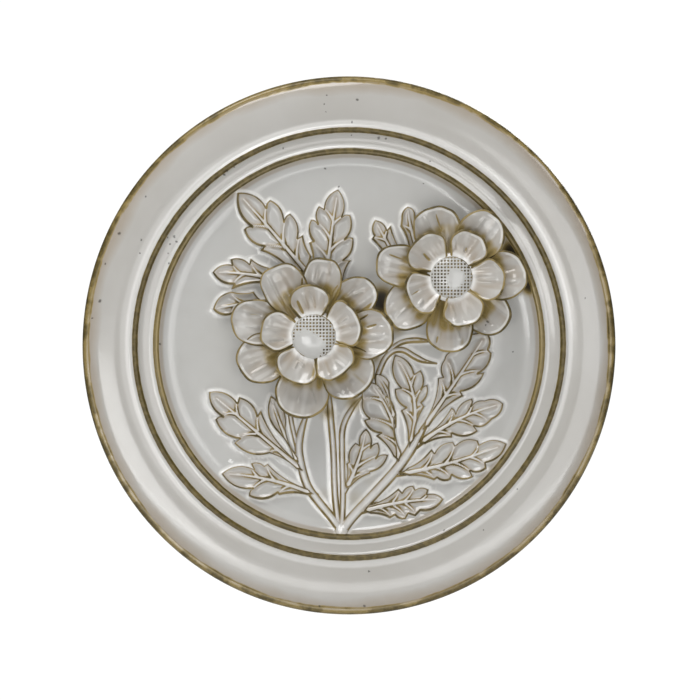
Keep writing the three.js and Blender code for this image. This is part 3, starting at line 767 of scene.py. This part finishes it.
# The marks that the kiln left: pinholes in the glaze, by place and radius on the plate's face.
PINHOLES = [
    (-12.6, 139.9, 0.8), (-13.9, 134.8, 0.7), (-12.9, 130.4, 0.6), (4.6, 137.3, 1.1), (1.6, 124.8, 1),
    (1.4, 117.6, 0.7), (16.5, 116, 1.3), (20.5, 115.6, 1.1), (-139.3, 24.8, 1.5), (-136.2, 45.6, 0.8),
    (-128.4, 62.6, 1.4), (-101.4, 60.2, 0.9), (-143.6, 15.3, 0.8), (132, 26.5, 0.8), (45.3, 103, 0.7),
    (41.5, 90.7, 0.6), (91.8, -3.6, 0.8), (-64.2, -53.4, 0.7), (-105.8, 0.8, 0.9), (53.1, -103.3, 0.8),
    (75.1, -103.3, 0.7), (94.1, -80.4, 0.8), (11.2, -126.3, 0.9), (-5.9, 88.9, 0.9), (-46.4, 79.3, 0.6),
    (-49.4, 54.1, 0.5), (8.5, -145.8, 1.2), (-16.5, -145.9, 1), (-69.8, 95.4, 1.2), (-68.4, 97.4, 1),
    (-64.2, 99.7, 0.8), (-79.7, 88.9, 0.8), (-36.7, 110.3, 0.9), (-97.8, 60.9, 1.3), (-96.5, 58.1, 1),
    (-100.2, 56.8, 0.9), (-101.1, 51.5, 0.8), (-100.6, 45.9, 0.9), (-113.6, 83.3, 0.9),
    (-116.1, 59, 0.9), (-117, 51.5, 0.8), (-90.9, 77.7, 0.8), (-13.4, 99.1, 1),
]
PINHOLE_RAGGEDNESS = 1.5


def pinholes(nodes, where, places):
    """How deep in one of these pinholes each point is, from 0 to 1."""
    noisy = nodes.add("ShaderNodeTexNoise", {"Vector": where, "Scale": 700.0}).outputs["Color"]
    shift = nodes.vector("SUBTRACT", noisy, (0.5, 0.5, 0.5))["Vector"]
    ragged = nodes.vector("MULTIPLY_ADD", shift, (PINHOLE_RAGGEDNESS * MM,) * 3, where)["Vector"]
    flat = nodes.vector("MULTIPLY", ragged, (1.0, 0.0, 1.0))["Vector"]
    holes = []
    for x, y, radius in places:
        gap = nodes.vector("DISTANCE", flat, (x * MM, 0.0, y * MM))["Value"]
        holes.append(nodes.ramp(gap, 0.25 * radius * MM, 0.95 * radius * MM, 0.72, 0.0))
    return nodes.most(*holes)


# Where the glaze's lines, pools and tints, and the painted highlights along the crests, run round the
# plate, as radii.
INNER_LINE, INNER_HIGHLIGHT, OUTER_LINE = 108.0, 107.7, 119.7
RIM_LINE, RIM_HIGHLIGHT, RIM_EDGE = 146.5, 147.0, 148.0
RIM_POOL, VALLEY_POOL, DISH_POOL, DISH_TINT = 123.3, 111.0, 101.6, 105.4
BARE_FROM = 155.0


def plate_marks(nodes, where):
    """Brown over the ring crests, the rim's edge, the leaves' edges and beside their veins, with painted
    highlights along the crests and the stem tops, and painted shade near the flowers and along
    down-facing edges.
    """
    times, most, scaled, ramp, band = nodes.times, nodes.most, nodes.scaled, nodes.ramp, nodes.band
    inside, facing_up, vein, vein_brown, fork = (nodes.mark(name) for name in LEAF_MARKS)
    radius = nodes.mark("radius_mm")
    wander = nodes.plus(nodes.noise(where, 180.0), -0.5)
    slow = nodes.plus(nodes.noise(where, 34.0), -0.5)
    patchy = patchwork(nodes, where, 90.0)

    # Brown lines along leaf and stem edges, wider where the edge faces down: the extra width is painted
    # shade.
    half = most(scaled(facing_up, -0.2, scaled(slow, 1.3, 0.28)), 0.08)
    leaf_line = times(band(inside, 0.22, half, 0.32), patchy(0.65, 0.95))
    leaf_line = times(leaf_line, ramp(vein, 8.0, 9.0, 1.0, 0.8))
    vein_line = times(band(vein, 0.32, 0.14, 0.42), vein_brown, patchy(0.6, 1.0))
    forks = times(ramp(fork, 0.15, 0.7), patchy(0.6, 0.95))
    vein_line = times(most(vein_line, forks), ramp(inside, 0.2, 1.0))

    shaken = scaled(wander, 0.5, radius)
    place = nodes.add("ShaderNodeSeparateXYZ", {"Vector": where}).outputs
    upright = nodes.math("ABSOLUTE", nodes.math("DIVIDE", place["Z"], 0.15))
    sideways = nodes.math("ABSOLUTE", nodes.math("DIVIDE", place["X"], 0.15))
    # Each ring crest is brown with a lighter tan stripe along it: the stripe is a painted highlight.
    inner_highlight = band(shaken, INNER_HIGHLIGHT, 0.25, 0.45)
    inner_line = scaled(inner_highlight, -0.22, band(shaken, INNER_LINE, 1.45, 0.45))
    # The inner ring's brown is lighter at the left and right: a painted highlight.
    inner_line = times(inner_line, ramp(upright, 0.0, 0.6, 0.72, 1.0))
    outer_highlight = band(shaken, OUTER_LINE, 0.2, 0.4)
    outer_line = scaled(outer_highlight, -0.15, band(shaken, OUTER_LINE, 1.35, 0.4))

    quarters = nodes.math("POWER", upright, 2.0), nodes.math("POWER", sideways, 2.0)
    quarters = times(nodes.math("ABSOLUTE", nodes.math("SUBTRACT", *quarters)), 1.5)
    wider = most(quarters, ramp(place["Z"], 0.04, -0.05, 0.0, 1.2))
    rim_start = scaled(slow, 4.0, nodes.math("SUBTRACT", RIM_LINE, wider))
    # The rim's brown band has a lighter tan stripe along it: a painted highlight.
    rim_line = scaled(band(shaken, RIM_HIGHLIGHT, 0.25, 0.4), -0.15, patchy(0.55, 0.85))
    rim_line = times(ramp(nodes.math("SUBTRACT", shaken, rim_start), 0.0, 1.6), rim_line)
    rim_edge = times(ramp(shaken, RIM_EDGE, RIM_EDGE + 1.2), patchy(0.7, 1.0))
    # The painted shade, as brown, fading out just inside the inner ring's crest.
    painted_shade = times(nodes.mark("painted_shade"), ramp(radius, 105.8, 107.0, 1.0, 0.0))
    line = most(leaf_line, vein_line, inner_line, outer_line, rim_line, rim_edge, painted_shade)

    # White pooled glaze just outside each leaf and stem, brighter where the edge faces up: that
    # brightening is a painted highlight.
    halo_with_painted_light = times(ramp(inside, -2.9, -0.9), ramp(inside, -0.1, -0.45))
    halo_with_painted_light = times(halo_with_painted_light, scaled(facing_up, 0.25, patchy(0.5, 0.8)))
    beside_rings = band(shaken, RIM_POOL, 0.9, 1.8), band(shaken, VALLEY_POOL, 0.6, 1.2)
    ring_pools = times(most(*beside_rings), 0.6)
    dish_pool = times(band(shaken, DISH_POOL, 0.8, 2.6), 0.1)
    on_vein = times(ramp(vein, 0.1, -0.3), ramp(inside, 0.3, 1.0, 0.0, 0.55))
    # A pale painted highlight along the middle of each stem.
    stem_highlight = times(ramp(vein, 8.0, 9.0), ramp(inside, 0.6, 1.4, 0.0, 0.4))
    pool = most(halo_with_painted_light, ring_pools, dish_pool, on_vein, stem_highlight)

    rim_tint = ramp(scaled(slow, 8.0, radius), 137.0, 147.0, 0.0, 0.9)
    valley_tint = ramp(radius, 108.0, 112.0, 0.0, 0.22)
    dish_tint = times(band(shaken, DISH_TINT, 0.5, 1.3), 0.7)
    leaf_tint = ramp(nodes.math("MINIMUM", inside, vein), 0.3, 2.6, 0.85, 0.12)
    leaf_tint = times(leaf_tint, patchy(0.6, 1.0), ramp(inside, 0.0, 0.4))
    warmth = most(rim_tint, valley_tint, dish_tint, leaf_tint)
    # Pinholes, and near-black where the painted shade is strong.
    dark_spots = most(pinholes(nodes, where, PINHOLES), ramp(painted_shade, 0.3, 0.9, 0.0, 0.92))
    bare = ramp(scaled(wander, 2.0, radius), BARE_FROM, BARE_FROM + 0.8)
    return line, pool, warmth, dark_spots, bare


plaque_body.data.materials.append(glazed_material("plate_glaze", plate_marks))
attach(plaque_body, "root")
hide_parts("plaque")


# The flowers are built up by hand before firing: two tiers of thumb-pressed petals round a
# domed button stamped with a fine net, luted on a short neck of clay. Petals are given by
# heading, reach and width from the flower's middle, and a petal's folds by the two ends of each
# on the plate's face and its height.
PETAL_ROOT = 4.0
PETAL_THICKNESS = 2.1
PETAL_SIDES = 112
PETAL_RINGS = {"inside": 26, "over_rim": 6, "under_rim": 4, "below": 8}
FOLD_WIDTH = 0.8
# A tier's tucked range is the distance from the flower's middle over which its painted shade fades out;
# the inner tier's range leaves it almost none.
OUTER_TIER = {"root": 7.0, "tip": 17.0, "cup": 5.4, "curl": 1.2, "tucked": (25.0, 36.0)}
INNER_TIER = {"root": 14.6, "tip": 22.4, "cup": 4.8, "curl": 1.0, "tucked": (0.0, 1.0)}
BUTTON = {"base": 18.0, "rise": 5.0, "cells": 120, "net": 1.85, "pit_depth": 0.4}
COLLAR = [(1.02, 18.9), (1.06, 18.6), (1.12, 18.3), (1.17, 17.7), (1.19, 16.6)]
NECK = [(1.16, 14.0), (1.1, 10.0), (1.35, 3.0), (1.5, -1.5)]
FLOWER_MARKS = ("edge_mm", "share", "fold_mm", "streak", "tucked", "collar", "net")
PETAL_PINHOLES = [(77.3, 13.1, 1.1), (76.2, 11.4, 0.5)]


def press_petal(heading, reach, width, folds, lift=0.0, bluntness=2.4):
    return {
        "heading": math.radians(heading), "reach": reach, "width": width, "folds": folds,
        "lift": lift, "power": 2 / bluntness,
    }


def left_net(x, y):
    """How open the left button's net is: glaze has filled it at the lower left."""
    return smoothstep(0.0, 0.35, 0.45 * x + 0.7 * y + 0.85 * (x * x + y * y) ** 2 + 0.08)


def right_net(x, y):
    """The same for the right button, filled just right of its middle."""
    return smoothstep(0.35, 0.62, np.hypot(x - 0.22, y + 0.08))


LEFT_FLOWER = {
    "spot": FLOWER_SPOTS[0], "button": 12.3, "seed": 3, "open_net": left_net,
    "inner": [
        press_petal(97, 29, 22.5, folds=[(-25.2, 17, -29.1, 25.4, -0.9),
            (-22.4, 19.8, -25.8, 29.3, 0.7), (-18.5, 20.9, -21.8, 31, -0.6)]),
        press_petal(22, 27.6, 26.5, folds=[(-6.2, 12, -0.6, 15.9, 0.9), (0.6, 9.7, 3.9, 11.4, -0.5)]),
        press_petal(-52, 27, 24, folds=[(-7.8, -8.2, -2.2, -12.7, 0.8)]),
        press_petal(240, 28.4, 25, folds=[(-28, -8.2, -30.8, -13.2, 0.8),
            (-28, -8.2, -25.2, -12.1, 0.8)]),
        press_petal(172, 30, 23.5, folds=[(-35.8, 3, -44.2, 2.5, -0.9), (-37, 8.6, -46.5, 10.3, 0.5)]),
    ],
    "outer": [
        press_petal(121, 45, 25, lift=0.6, bluntness=2.9, folds=[(-35.8, 20.9, -45.4, 39.4, 1),
            (-31.9, 46.7, -29.7, 42.2, -0.6)]),
        press_petal(82, 44.2, 21.5, bluntness=2.8, folds=[(-19, 34.9, -16.8, 45, -0.7),
            (-16.8, 34.9, -14.6, 43.3, 0.7), (-10.6, 39.4, -9.5, 46.7, 0.6),
            (-6.2, 41.1, -3.4, 45, -0.5)]),
        press_petal(43, 44.4, 23, lift=-1, folds=[(-2.2, 27.1, 5, 33.8, -0.6),
            (1.7, 27.7, 9, 31, 0.7)]),
        press_petal(2, 44.3, 27.5, lift=0.5, folds=[(9, 9.7, 16.2, 12, -0.6),
            (10.6, 5.3, 18.5, 5.8, 0.7)]),
        press_petal(-47, 42, 31, folds=[(0.6, -19.4, 3.4, -21.6, 0.5)]),
        press_petal(259, 46.3, 30.5, lift=-0.6, folds=[(-26.3, -22.2, -28.6, -31.7, 0.6),
            (-21.3, -23.9, -19, -33.4, 0.6)]),
        press_petal(203, 45.3, 27.5, lift=-1.2, folds=[(-44.2, -10.4, -55.4, -16.6, 0.8)]),
        press_petal(166, 47.4, 26, folds=[(-52.6, 22.1, -61, 23.7, 0.5), (-48.7, 17, -57.1, 17.6, -0.5),
            (-49.8, 10.3, -58.2, 10.9, 0.5)]),
    ],
}
RIGHT_FLOWER = {
    "spot": FLOWER_SPOTS[1], "button": 11.6, "seed": 40, "open_net": right_net,
    "inner": [
        press_petal(134, 29, 24, folds=[(45.4, 46.7, 40.9, 51.7, -0.8), (42, 42.2, 35.3, 45, 0.6)]),
        press_petal(61, 28.6, 21.5, folds=[(58.8, 53.4, 58.8, 59, 0.7),
            (64.4, 51.7, 65.5, 55.1, -0.6)]),
        press_petal(-4, 29.6, 23, folds=[(70.6, 36.6, 83.4, 36.1, 0.5)]),
        press_petal(-70, 28.3, 23, folds=[(56.6, 22.6, 59.4, 15.3, 0.7)]),
        press_petal(207, 27.5, 24, folds=[(41.4, 25.4, 38.6, 22.1, 0.8), (39.8, 31, 33, 27.1, -0.7)]),
    ],
    "outer": [
        press_petal(167, 43, 24.5, lift=0.5, folds=[(31.4, 54, 23.5, 57.3, 0.6),
            (33, 46.7, 20.7, 51.2, -0.7), (34.2, 38.3, 20.2, 39.4, 0.6)]),
        press_petal(107, 40.6, 26.5, bluntness=2.8, folds=[(38.6, 60.1, 35.3, 65.7, -0.6),
            (45.4, 64.6, 42, 71.9, 0.7), (51.5, 63.5, 47.6, 74.7, -0.8)]),
        press_petal(56, 42, 27, lift=0.5, folds=[(71.1, 64.6, 75.6, 71.3, 0.7)]),
        press_petal(2, 42, 27.4, folds=[(89, 34.9, 94.6, 36.1, 0.7), (86.2, 41.1, 93.5, 43.3, -0.6)]),
        press_petal(-44, 41.4, 25, lift=-0.8, folds=[(73.4, 18.7, 80.1, 11.4, -0.7)]),
        press_petal(268, 42, 26, folds=[(49.3, 5.8, 48.2, 0.2, -0.6), (59.9, 9.7, 61.6, 3, 0.8)]),
        press_petal(213, 42.6, 27, lift=-0.5, folds=[(33, 21.5, 25.8, 15.3, 0.8),
            (24.1, 23.7, 21.3, 21.5, -0.5)]),
    ],
}


def noise_at(*axes):
    """Smooth noise at each point that the axes give."""
    return np.array([noise.noise(point) for point in zip(*(axis.tolist() for axis in axes))])


def ball_of_clay():
    """The ball that every petal is pressed from, with each point's ring and its turn."""
    ball = bmesh.new()
    rings = sum(PETAL_RINGS.values())
    bmesh.ops.create_uvsphere(ball, u_segments=PETAL_SIDES, v_segments=rings, radius=1.0)
    points = np.array([vert.co for vert in ball.verts])
    ring = np.arccos(np.clip(points[:, 2], -1.0, 1.0)) / math.pi * rings
    return as_mesh("ball_of_clay", ball), ring, np.arctan2(points[:, 1], points[:, 0])


BALL, BALL_RING, BALL_TURN = ball_of_clay()


def petal_shape(flower, petal, tier, seed):
    """A thumb-pressed petal: a rounded slab, cupped, its edge standing up all round."""
    half = PETAL_THICKNESS / 2
    cosine, sine = np.cos(BALL_TURN), np.sin(BALL_TURN)
    forward = np.sign(cosine) * np.abs(cosine) ** petal["power"]
    aside = np.sign(sine) * np.abs(sine) ** petal["power"]
    breadth = 0.45 + 0.61 * smoothstep(0.0, 0.7, (forward + 1) / 2)
    length = petal["reach"] - PETAL_ROOT
    outline = np.stack([length * forward / 2, aside * breadth * petal["width"] / 2], axis=1)
    full = np.hypot(outline[:, 0], outline[:, 1])
    seeds = np.full(len(full), seed * 3.7)
    wobble = 1 + 0.065 * noise_at(cosine * 1.7, sine * 1.7, seeds)

    inside, over = PETAL_RINGS["inside"], PETAL_RINGS["inside"] + PETAL_RINGS["over_rim"]
    under = over + PETAL_RINGS["under_rim"]
    spread = np.interp(BALL_RING, [0, inside, under, sum(PETAL_RINGS.values())], [0.0, 1.0, 1.0, 0.0])
    roll = np.interp(BALL_RING, [inside, over, under], [math.pi / 2, 0.0, -math.pi / 2])
    flat_reach = (full - half) * wobble
    reach = flat_reach * spread + half * np.cos(roll)
    spot = outline / full[:, None] * reach[:, None]
    edge = np.sign(roll) * flat_reach * (1 - spread) + half * roll

    along = (PETAL_ROOT + petal["reach"]) / 2 + spot[:, 0]
    share = np.clip((along - PETAL_ROOT) / length, 0.0, 1.0)
    outside = np.minimum(reach / full, 1.0)
    heading = petal["heading"]
    x = flower["spot"][0] + math.cos(heading) * along - math.sin(heading) * spot[:, 1]
    y = flower["spot"][1] + math.sin(heading) * along + math.cos(heading) * spot[:, 1]

    rise = (tier["tip"] - tier["root"]) * np.sin(share * math.pi / 2)
    cup = tier["cup"] * (outside ** 2.4 - 0.6) * share
    curl = tier["curl"] * np.maximum(0.0, share - 0.8) / 0.2
    hand = 0.5 * noise_at(along / 9, spot[:, 1] / 9, seeds)
    fan = spot[:, 1] / (petal["width"] / 2 * (0.4 + 0.6 * share))
    inner_part = smoothstep(0.1, 0.4, share) * (1 - 0.7 * smoothstep(0.82, 1.0, outside))
    folds = 1.2 * noise_at(fan * 2.3, share * 0.9, seeds + 9.1) * inner_part
    for x1, y1, x2, y2, height in petal["folds"]:
        gap, part = to_line(np.stack([x, y], axis=1), np.array([(x1, y1), (x2, y2)]))
        folds += 1.3 * height * bell(gap / FOLD_WIDTH) * (1 - (2 * part - 1) ** 4)
    folds *= smoothstep(0.0, 0.6, roll)
    streak = noise_at(fan * 3.2, share * 1.9, seeds + 31.7) * inner_part * 1.7
    height = tier["root"] + rise + cup - curl + petal["lift"] + hand + folds + half * np.sin(roll)
    from_middle = np.hypot(x - flower["spot"][0], y - flower["spot"][1])
    collar = bell((from_middle - flower["button"] - 0.5) / 1.9) * (roll > 0)
    # Painted shade near the flower's middle, where the inner tier lies over the outer, and at each
    # petal's sides near its root, between neighbours.
    tucked = smoothstep(tier["tucked"][1], tier["tucked"][0], from_middle)
    root_shade = smoothstep(4.5, 1.0, edge) * smoothstep(0.75, 0.4, share) * (1 - collar)
    marks = {
        "edge_mm": edge, "share": share, "fold_mm": folds, "streak": streak,
        "tucked": np.maximum(tucked, root_shade), "collar": collar,
    }
    return x, y, height, marks


def button_shape(flower, points):
    """The domed button, its net of small pits fading where the glaze has filled them."""
    x, y = points[:, 0], points[:, 1]
    out = np.hypot(x, y)
    step = flower["button"] * math.pi / BUTTON["net"]
    holes = smoothstep(0.18, 0.5, (1 + np.cos(2 * x * step)) * (1 + np.cos(2 * y * step)) / 4)
    ragged = 0.16 * noise_at(x * 4, y * 4, np.full(len(x), flower["seed"]))
    net = holes * flower["open_net"](x + ragged, y - ragged) * smoothstep(1.0, 0.93, out)
    uneven = smoothstep(-0.25, 0.25, noise_at(x * 1.6, y * 1.6, np.full(len(x), flower["seed"] + 0.5)))
    net = np.maximum(net, 0.75 * uneven * smoothstep(0.95, 0.985, out))
    height = BUTTON["base"] + BUTTON["rise"] * np.sqrt(np.maximum(0.0, 1 - 0.94 * out ** 2.2))
    return height - BUTTON["pit_depth"] * net, net


def build_button(flower):
    """The button, its collar of glaze and its neck, with their marks."""
    mesh = bmesh.new()
    bmesh.ops.create_grid(mesh, x_segments=BUTTON["cells"], y_segments=BUTTON["cells"], size=1.0)
    points = np.array([disc_place(vert.co.x, vert.co.y) for vert in mesh.verts])
    heights, net = button_shape(flower, points)
    for vert, (x, y), height in zip(mesh.verts, points, heights):
        vert.co = (x, y, height)
    ring = [edge for edge in mesh.edges if edge.is_boundary]
    last = 1.0
    for share, height in COLLAR + NECK:
        grown = bmesh.ops.extrude_edge_only(mesh, edges=ring)["geom"]
        ring = [item for item in grown if isinstance(item, bmesh.types.BMEdge)]
        for vert in (item for item in grown if isinstance(item, bmesh.types.BMVert)):
            vert.co = (vert.co.x * share / last, vert.co.y * share / last, height)
        last = share
    bmesh.ops.edgeloop_fill(mesh, edges=ring)
    data = as_mesh("button", mesh)
    points = np.array([vert.co for vert in data.vertices])
    x = flower["spot"][0] + points[:, 0] * flower["button"]
    y = flower["spot"][1] + points[:, 1] * flower["button"]
    far = np.full(len(x), NOWHERE)
    marks = {
        "net": np.pad(net, (0, len(x) - len(net))), "collar": np.arange(len(x)) >= len(net),
        "edge_mm": far, "share": far,
    }
    return data, x, y, points[:, 2], marks


def build_flower(name, flower):
    """One flower: the petals of both tiers and the button, as one piece."""
    petals = [(petal, OUTER_TIER) for petal in flower["outer"]]
    petals += [(petal, INNER_TIER) for petal in flower["inner"]]
    parts = []
    for number, (petal, tier) in enumerate(petals):
        parts.append((BALL, *petal_shape(flower, petal, tier, flower["seed"] + number)))
    parts.append(build_button(flower))
    mesh = bmesh.new()
    for part in parts:
        mesh.from_mesh(part[0])
    x, y, height = (np.concatenate([part[axis] for part in parts]) for axis in (1, 2, 3))
    for vert, place in zip(mesh.verts, np.stack([x, -(FIELD_FRONT + height), y], axis=1) * MM):
        vert.co = place
    bmesh.ops.recalc_face_normals(mesh, faces=mesh.faces)
    for face in mesh.faces:
        face.smooth = True
    piece = new_object(name, mesh)
    for mark in FLOWER_MARKS:
        values = [part[4].get(mark, np.zeros(len(part[1]))) for part in parts]
        add_mark(piece, mark, np.concatenate(values))
    piece.data.materials.append(PETAL_GLAZE)
    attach(piece, "root")
    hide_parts("plaque")


def petal_marks(nodes, where):
    """Brown along each petal's edge and in the button's net, brown that is partly painted shade deep
    between the petals, and painted shade in their creases.
    """
    times, most, scaled, ramp, band = nodes.times, nodes.most, nodes.scaled, nodes.ramp, nodes.band
    edge, share, fold, streak, tucked, collar, net = (nodes.mark(name) for name in FLOWER_MARKS)
    slow = nodes.plus(nodes.noise(where, 55.0), -0.5)
    patchy = patchwork(nodes, where, 75.0)
    line = times(band(edge, 0.65, scaled(slow, 1.7, 0.85), 0.55), patchy(0.6, 1.0))
    # Brown in the crevices between the petals, partly where the glaze runs thin and partly painted shade,
    # and brown painted into each fold's crease as shade.
    deep = times(ramp(tucked, 0.1, 1.0), ramp(streak, -0.8, 0.8, 0.7, 0.36))
    crease_shade = times(ramp(fold, -0.45, -1.0), 0.6)
    in_net = times(ramp(net, 0.25, 0.7), patchy(0.65, 1.0))
    line = most(line, deep, crease_shade, in_net)
    inner_lip = times(band(edge, 2.5, 0.35, 0.6), patchy(0.0, 0.6, 0.2, 0.9))
    on_button = times(ramp(share, 2.0, 3.0), 0.08)
    pool = most(collar, inner_lip, on_button, ramp(streak, 0.2, 0.9, 0.0, 0.3))
    tint = scaled(slow, 0.6, ramp(share, 0.9, 0.3, 0.3, 0.85))
    tint = nodes.plus(tint, ramp(streak, -0.1, -0.9, 0.0, 0.35))
    warmth = times(most(tint, 0.0), ramp(share, 1.5, 1.0))
    dark_spots = most(times(in_net, 0.4), pinholes(nodes, where, PETAL_PINHOLES))
    return line, pool, warmth, dark_spots, 0.0


PETAL_GLAZE = glazed_material("petal_glaze", petal_marks)
build_flower("flower_left", LEFT_FLOWER)
build_flower("flower_right", RIGHT_FLOWER)


# The studio stands in for the photo's: a plain pale floor below, white all round, and soft boxes
# above, low at both sides, close over the floor and behind.
def softbox(name, place, size, power, aim=(0.0, 0.0, 0.0)):
    light = bpy.data.lights.new(name, "AREA")
    light.shape = "RECTANGLE"
    light.size, light.size_y = size
    light.energy = power
    lamp = bpy.data.objects.new(name, light)
    lamp.location = place
    lamp.rotation_euler = (Vector(aim) - Vector(place)).to_track_quat("-Z", "Y").to_euler()
    bpy.context.scene.collection.objects.link(lamp)


floor_mesh = bmesh.new()
bmesh.ops.create_grid(floor_mesh, x_segments=1, y_segments=1, size=2.3)
bmesh.ops.translate(floor_mesh, verts=floor_mesh.verts, vec=(0.0, -0.2, -0.35))
floor = new_object("floor", floor_mesh)
floor_paint = bpy.data.materials.new("floor_paint")
floor_paint.use_nodes = True
paint = floor_paint.node_tree.nodes["Principled BSDF"].inputs
paint["Base Color"].default_value = (0.8, 0.8, 0.79, 1.0)
paint["Roughness"].default_value = 0.6
floor.data.materials.append(floor_paint)
floor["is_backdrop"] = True

softbox("overhead", (-0.35, -0.55, 1.15), (1.0, 0.6), 11.2)
softbox("right_low", (0.45, -1.5, -0.2), (0.65, 1.1), 5.0)
softbox("left_low", (-0.45, -1.5, -0.31), (0.6, 0.6), 5.7)
softbox("table_bounce", (0.0, -0.9, -0.27), (0.9, 0.12), 0.9, aim=(0.0, 0.0, -0.08))
softbox("behind", (0.6, 1.6, 0.9), (1.0, 1.0), 20.0)

world = bpy.data.worlds.new("studio")
world.use_nodes = True
bpy.context.scene.world = world
sky = Nodes(world.node_tree)
sky.tree.nodes.clear()
seen = sky.add("ShaderNodeBackground", {"Color": (1.0, 1.0, 1.0, 1.0), "Strength": 1.05})
fill = sky.add("ShaderNodeBackground", {"Color": (0.93, 0.95, 1.0, 1.0), "Strength": 0.17})
either = sky.add("ShaderNodeMixShader", {
    "Fac": sky.add("ShaderNodeLightPath").outputs["Is Camera Ray"],
    1: fill.outputs["Background"], 2: seen.outputs["Background"],
})
sky.add("ShaderNodeOutputWorld", {"Surface": either.outputs["Shader"]})

CAMERA_DISTANCE = 3.0
FRAME_WIDTH = 0.392
RIM_FRONT = 0.0126
VIEW_MIDDLE = {"x": 0.00056, "z": -0.00258}
camera = bpy.data.cameras.new("camera")
camera.sensor_width = 36.0
camera.lens = camera.sensor_width * (CAMERA_DISTANCE - RIM_FRONT) / FRAME_WIDTH
viewer = bpy.data.objects.new("camera", camera)
viewer.location = (VIEW_MIDDLE["x"], -CAMERA_DISTANCE, VIEW_MIDDLE["z"])
viewer.rotation_euler = (math.pi / 2, 0.0, 0.0)
bpy.context.scene.collection.objects.link(viewer)
bpy.context.scene.camera = viewer
bpy.context.scene.view_settings.view_transform = "Standard"

boxes = {"cad": cad_box, "visual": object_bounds()}
{name: [list(corner) for corner in box] for name, box in boxes.items()}
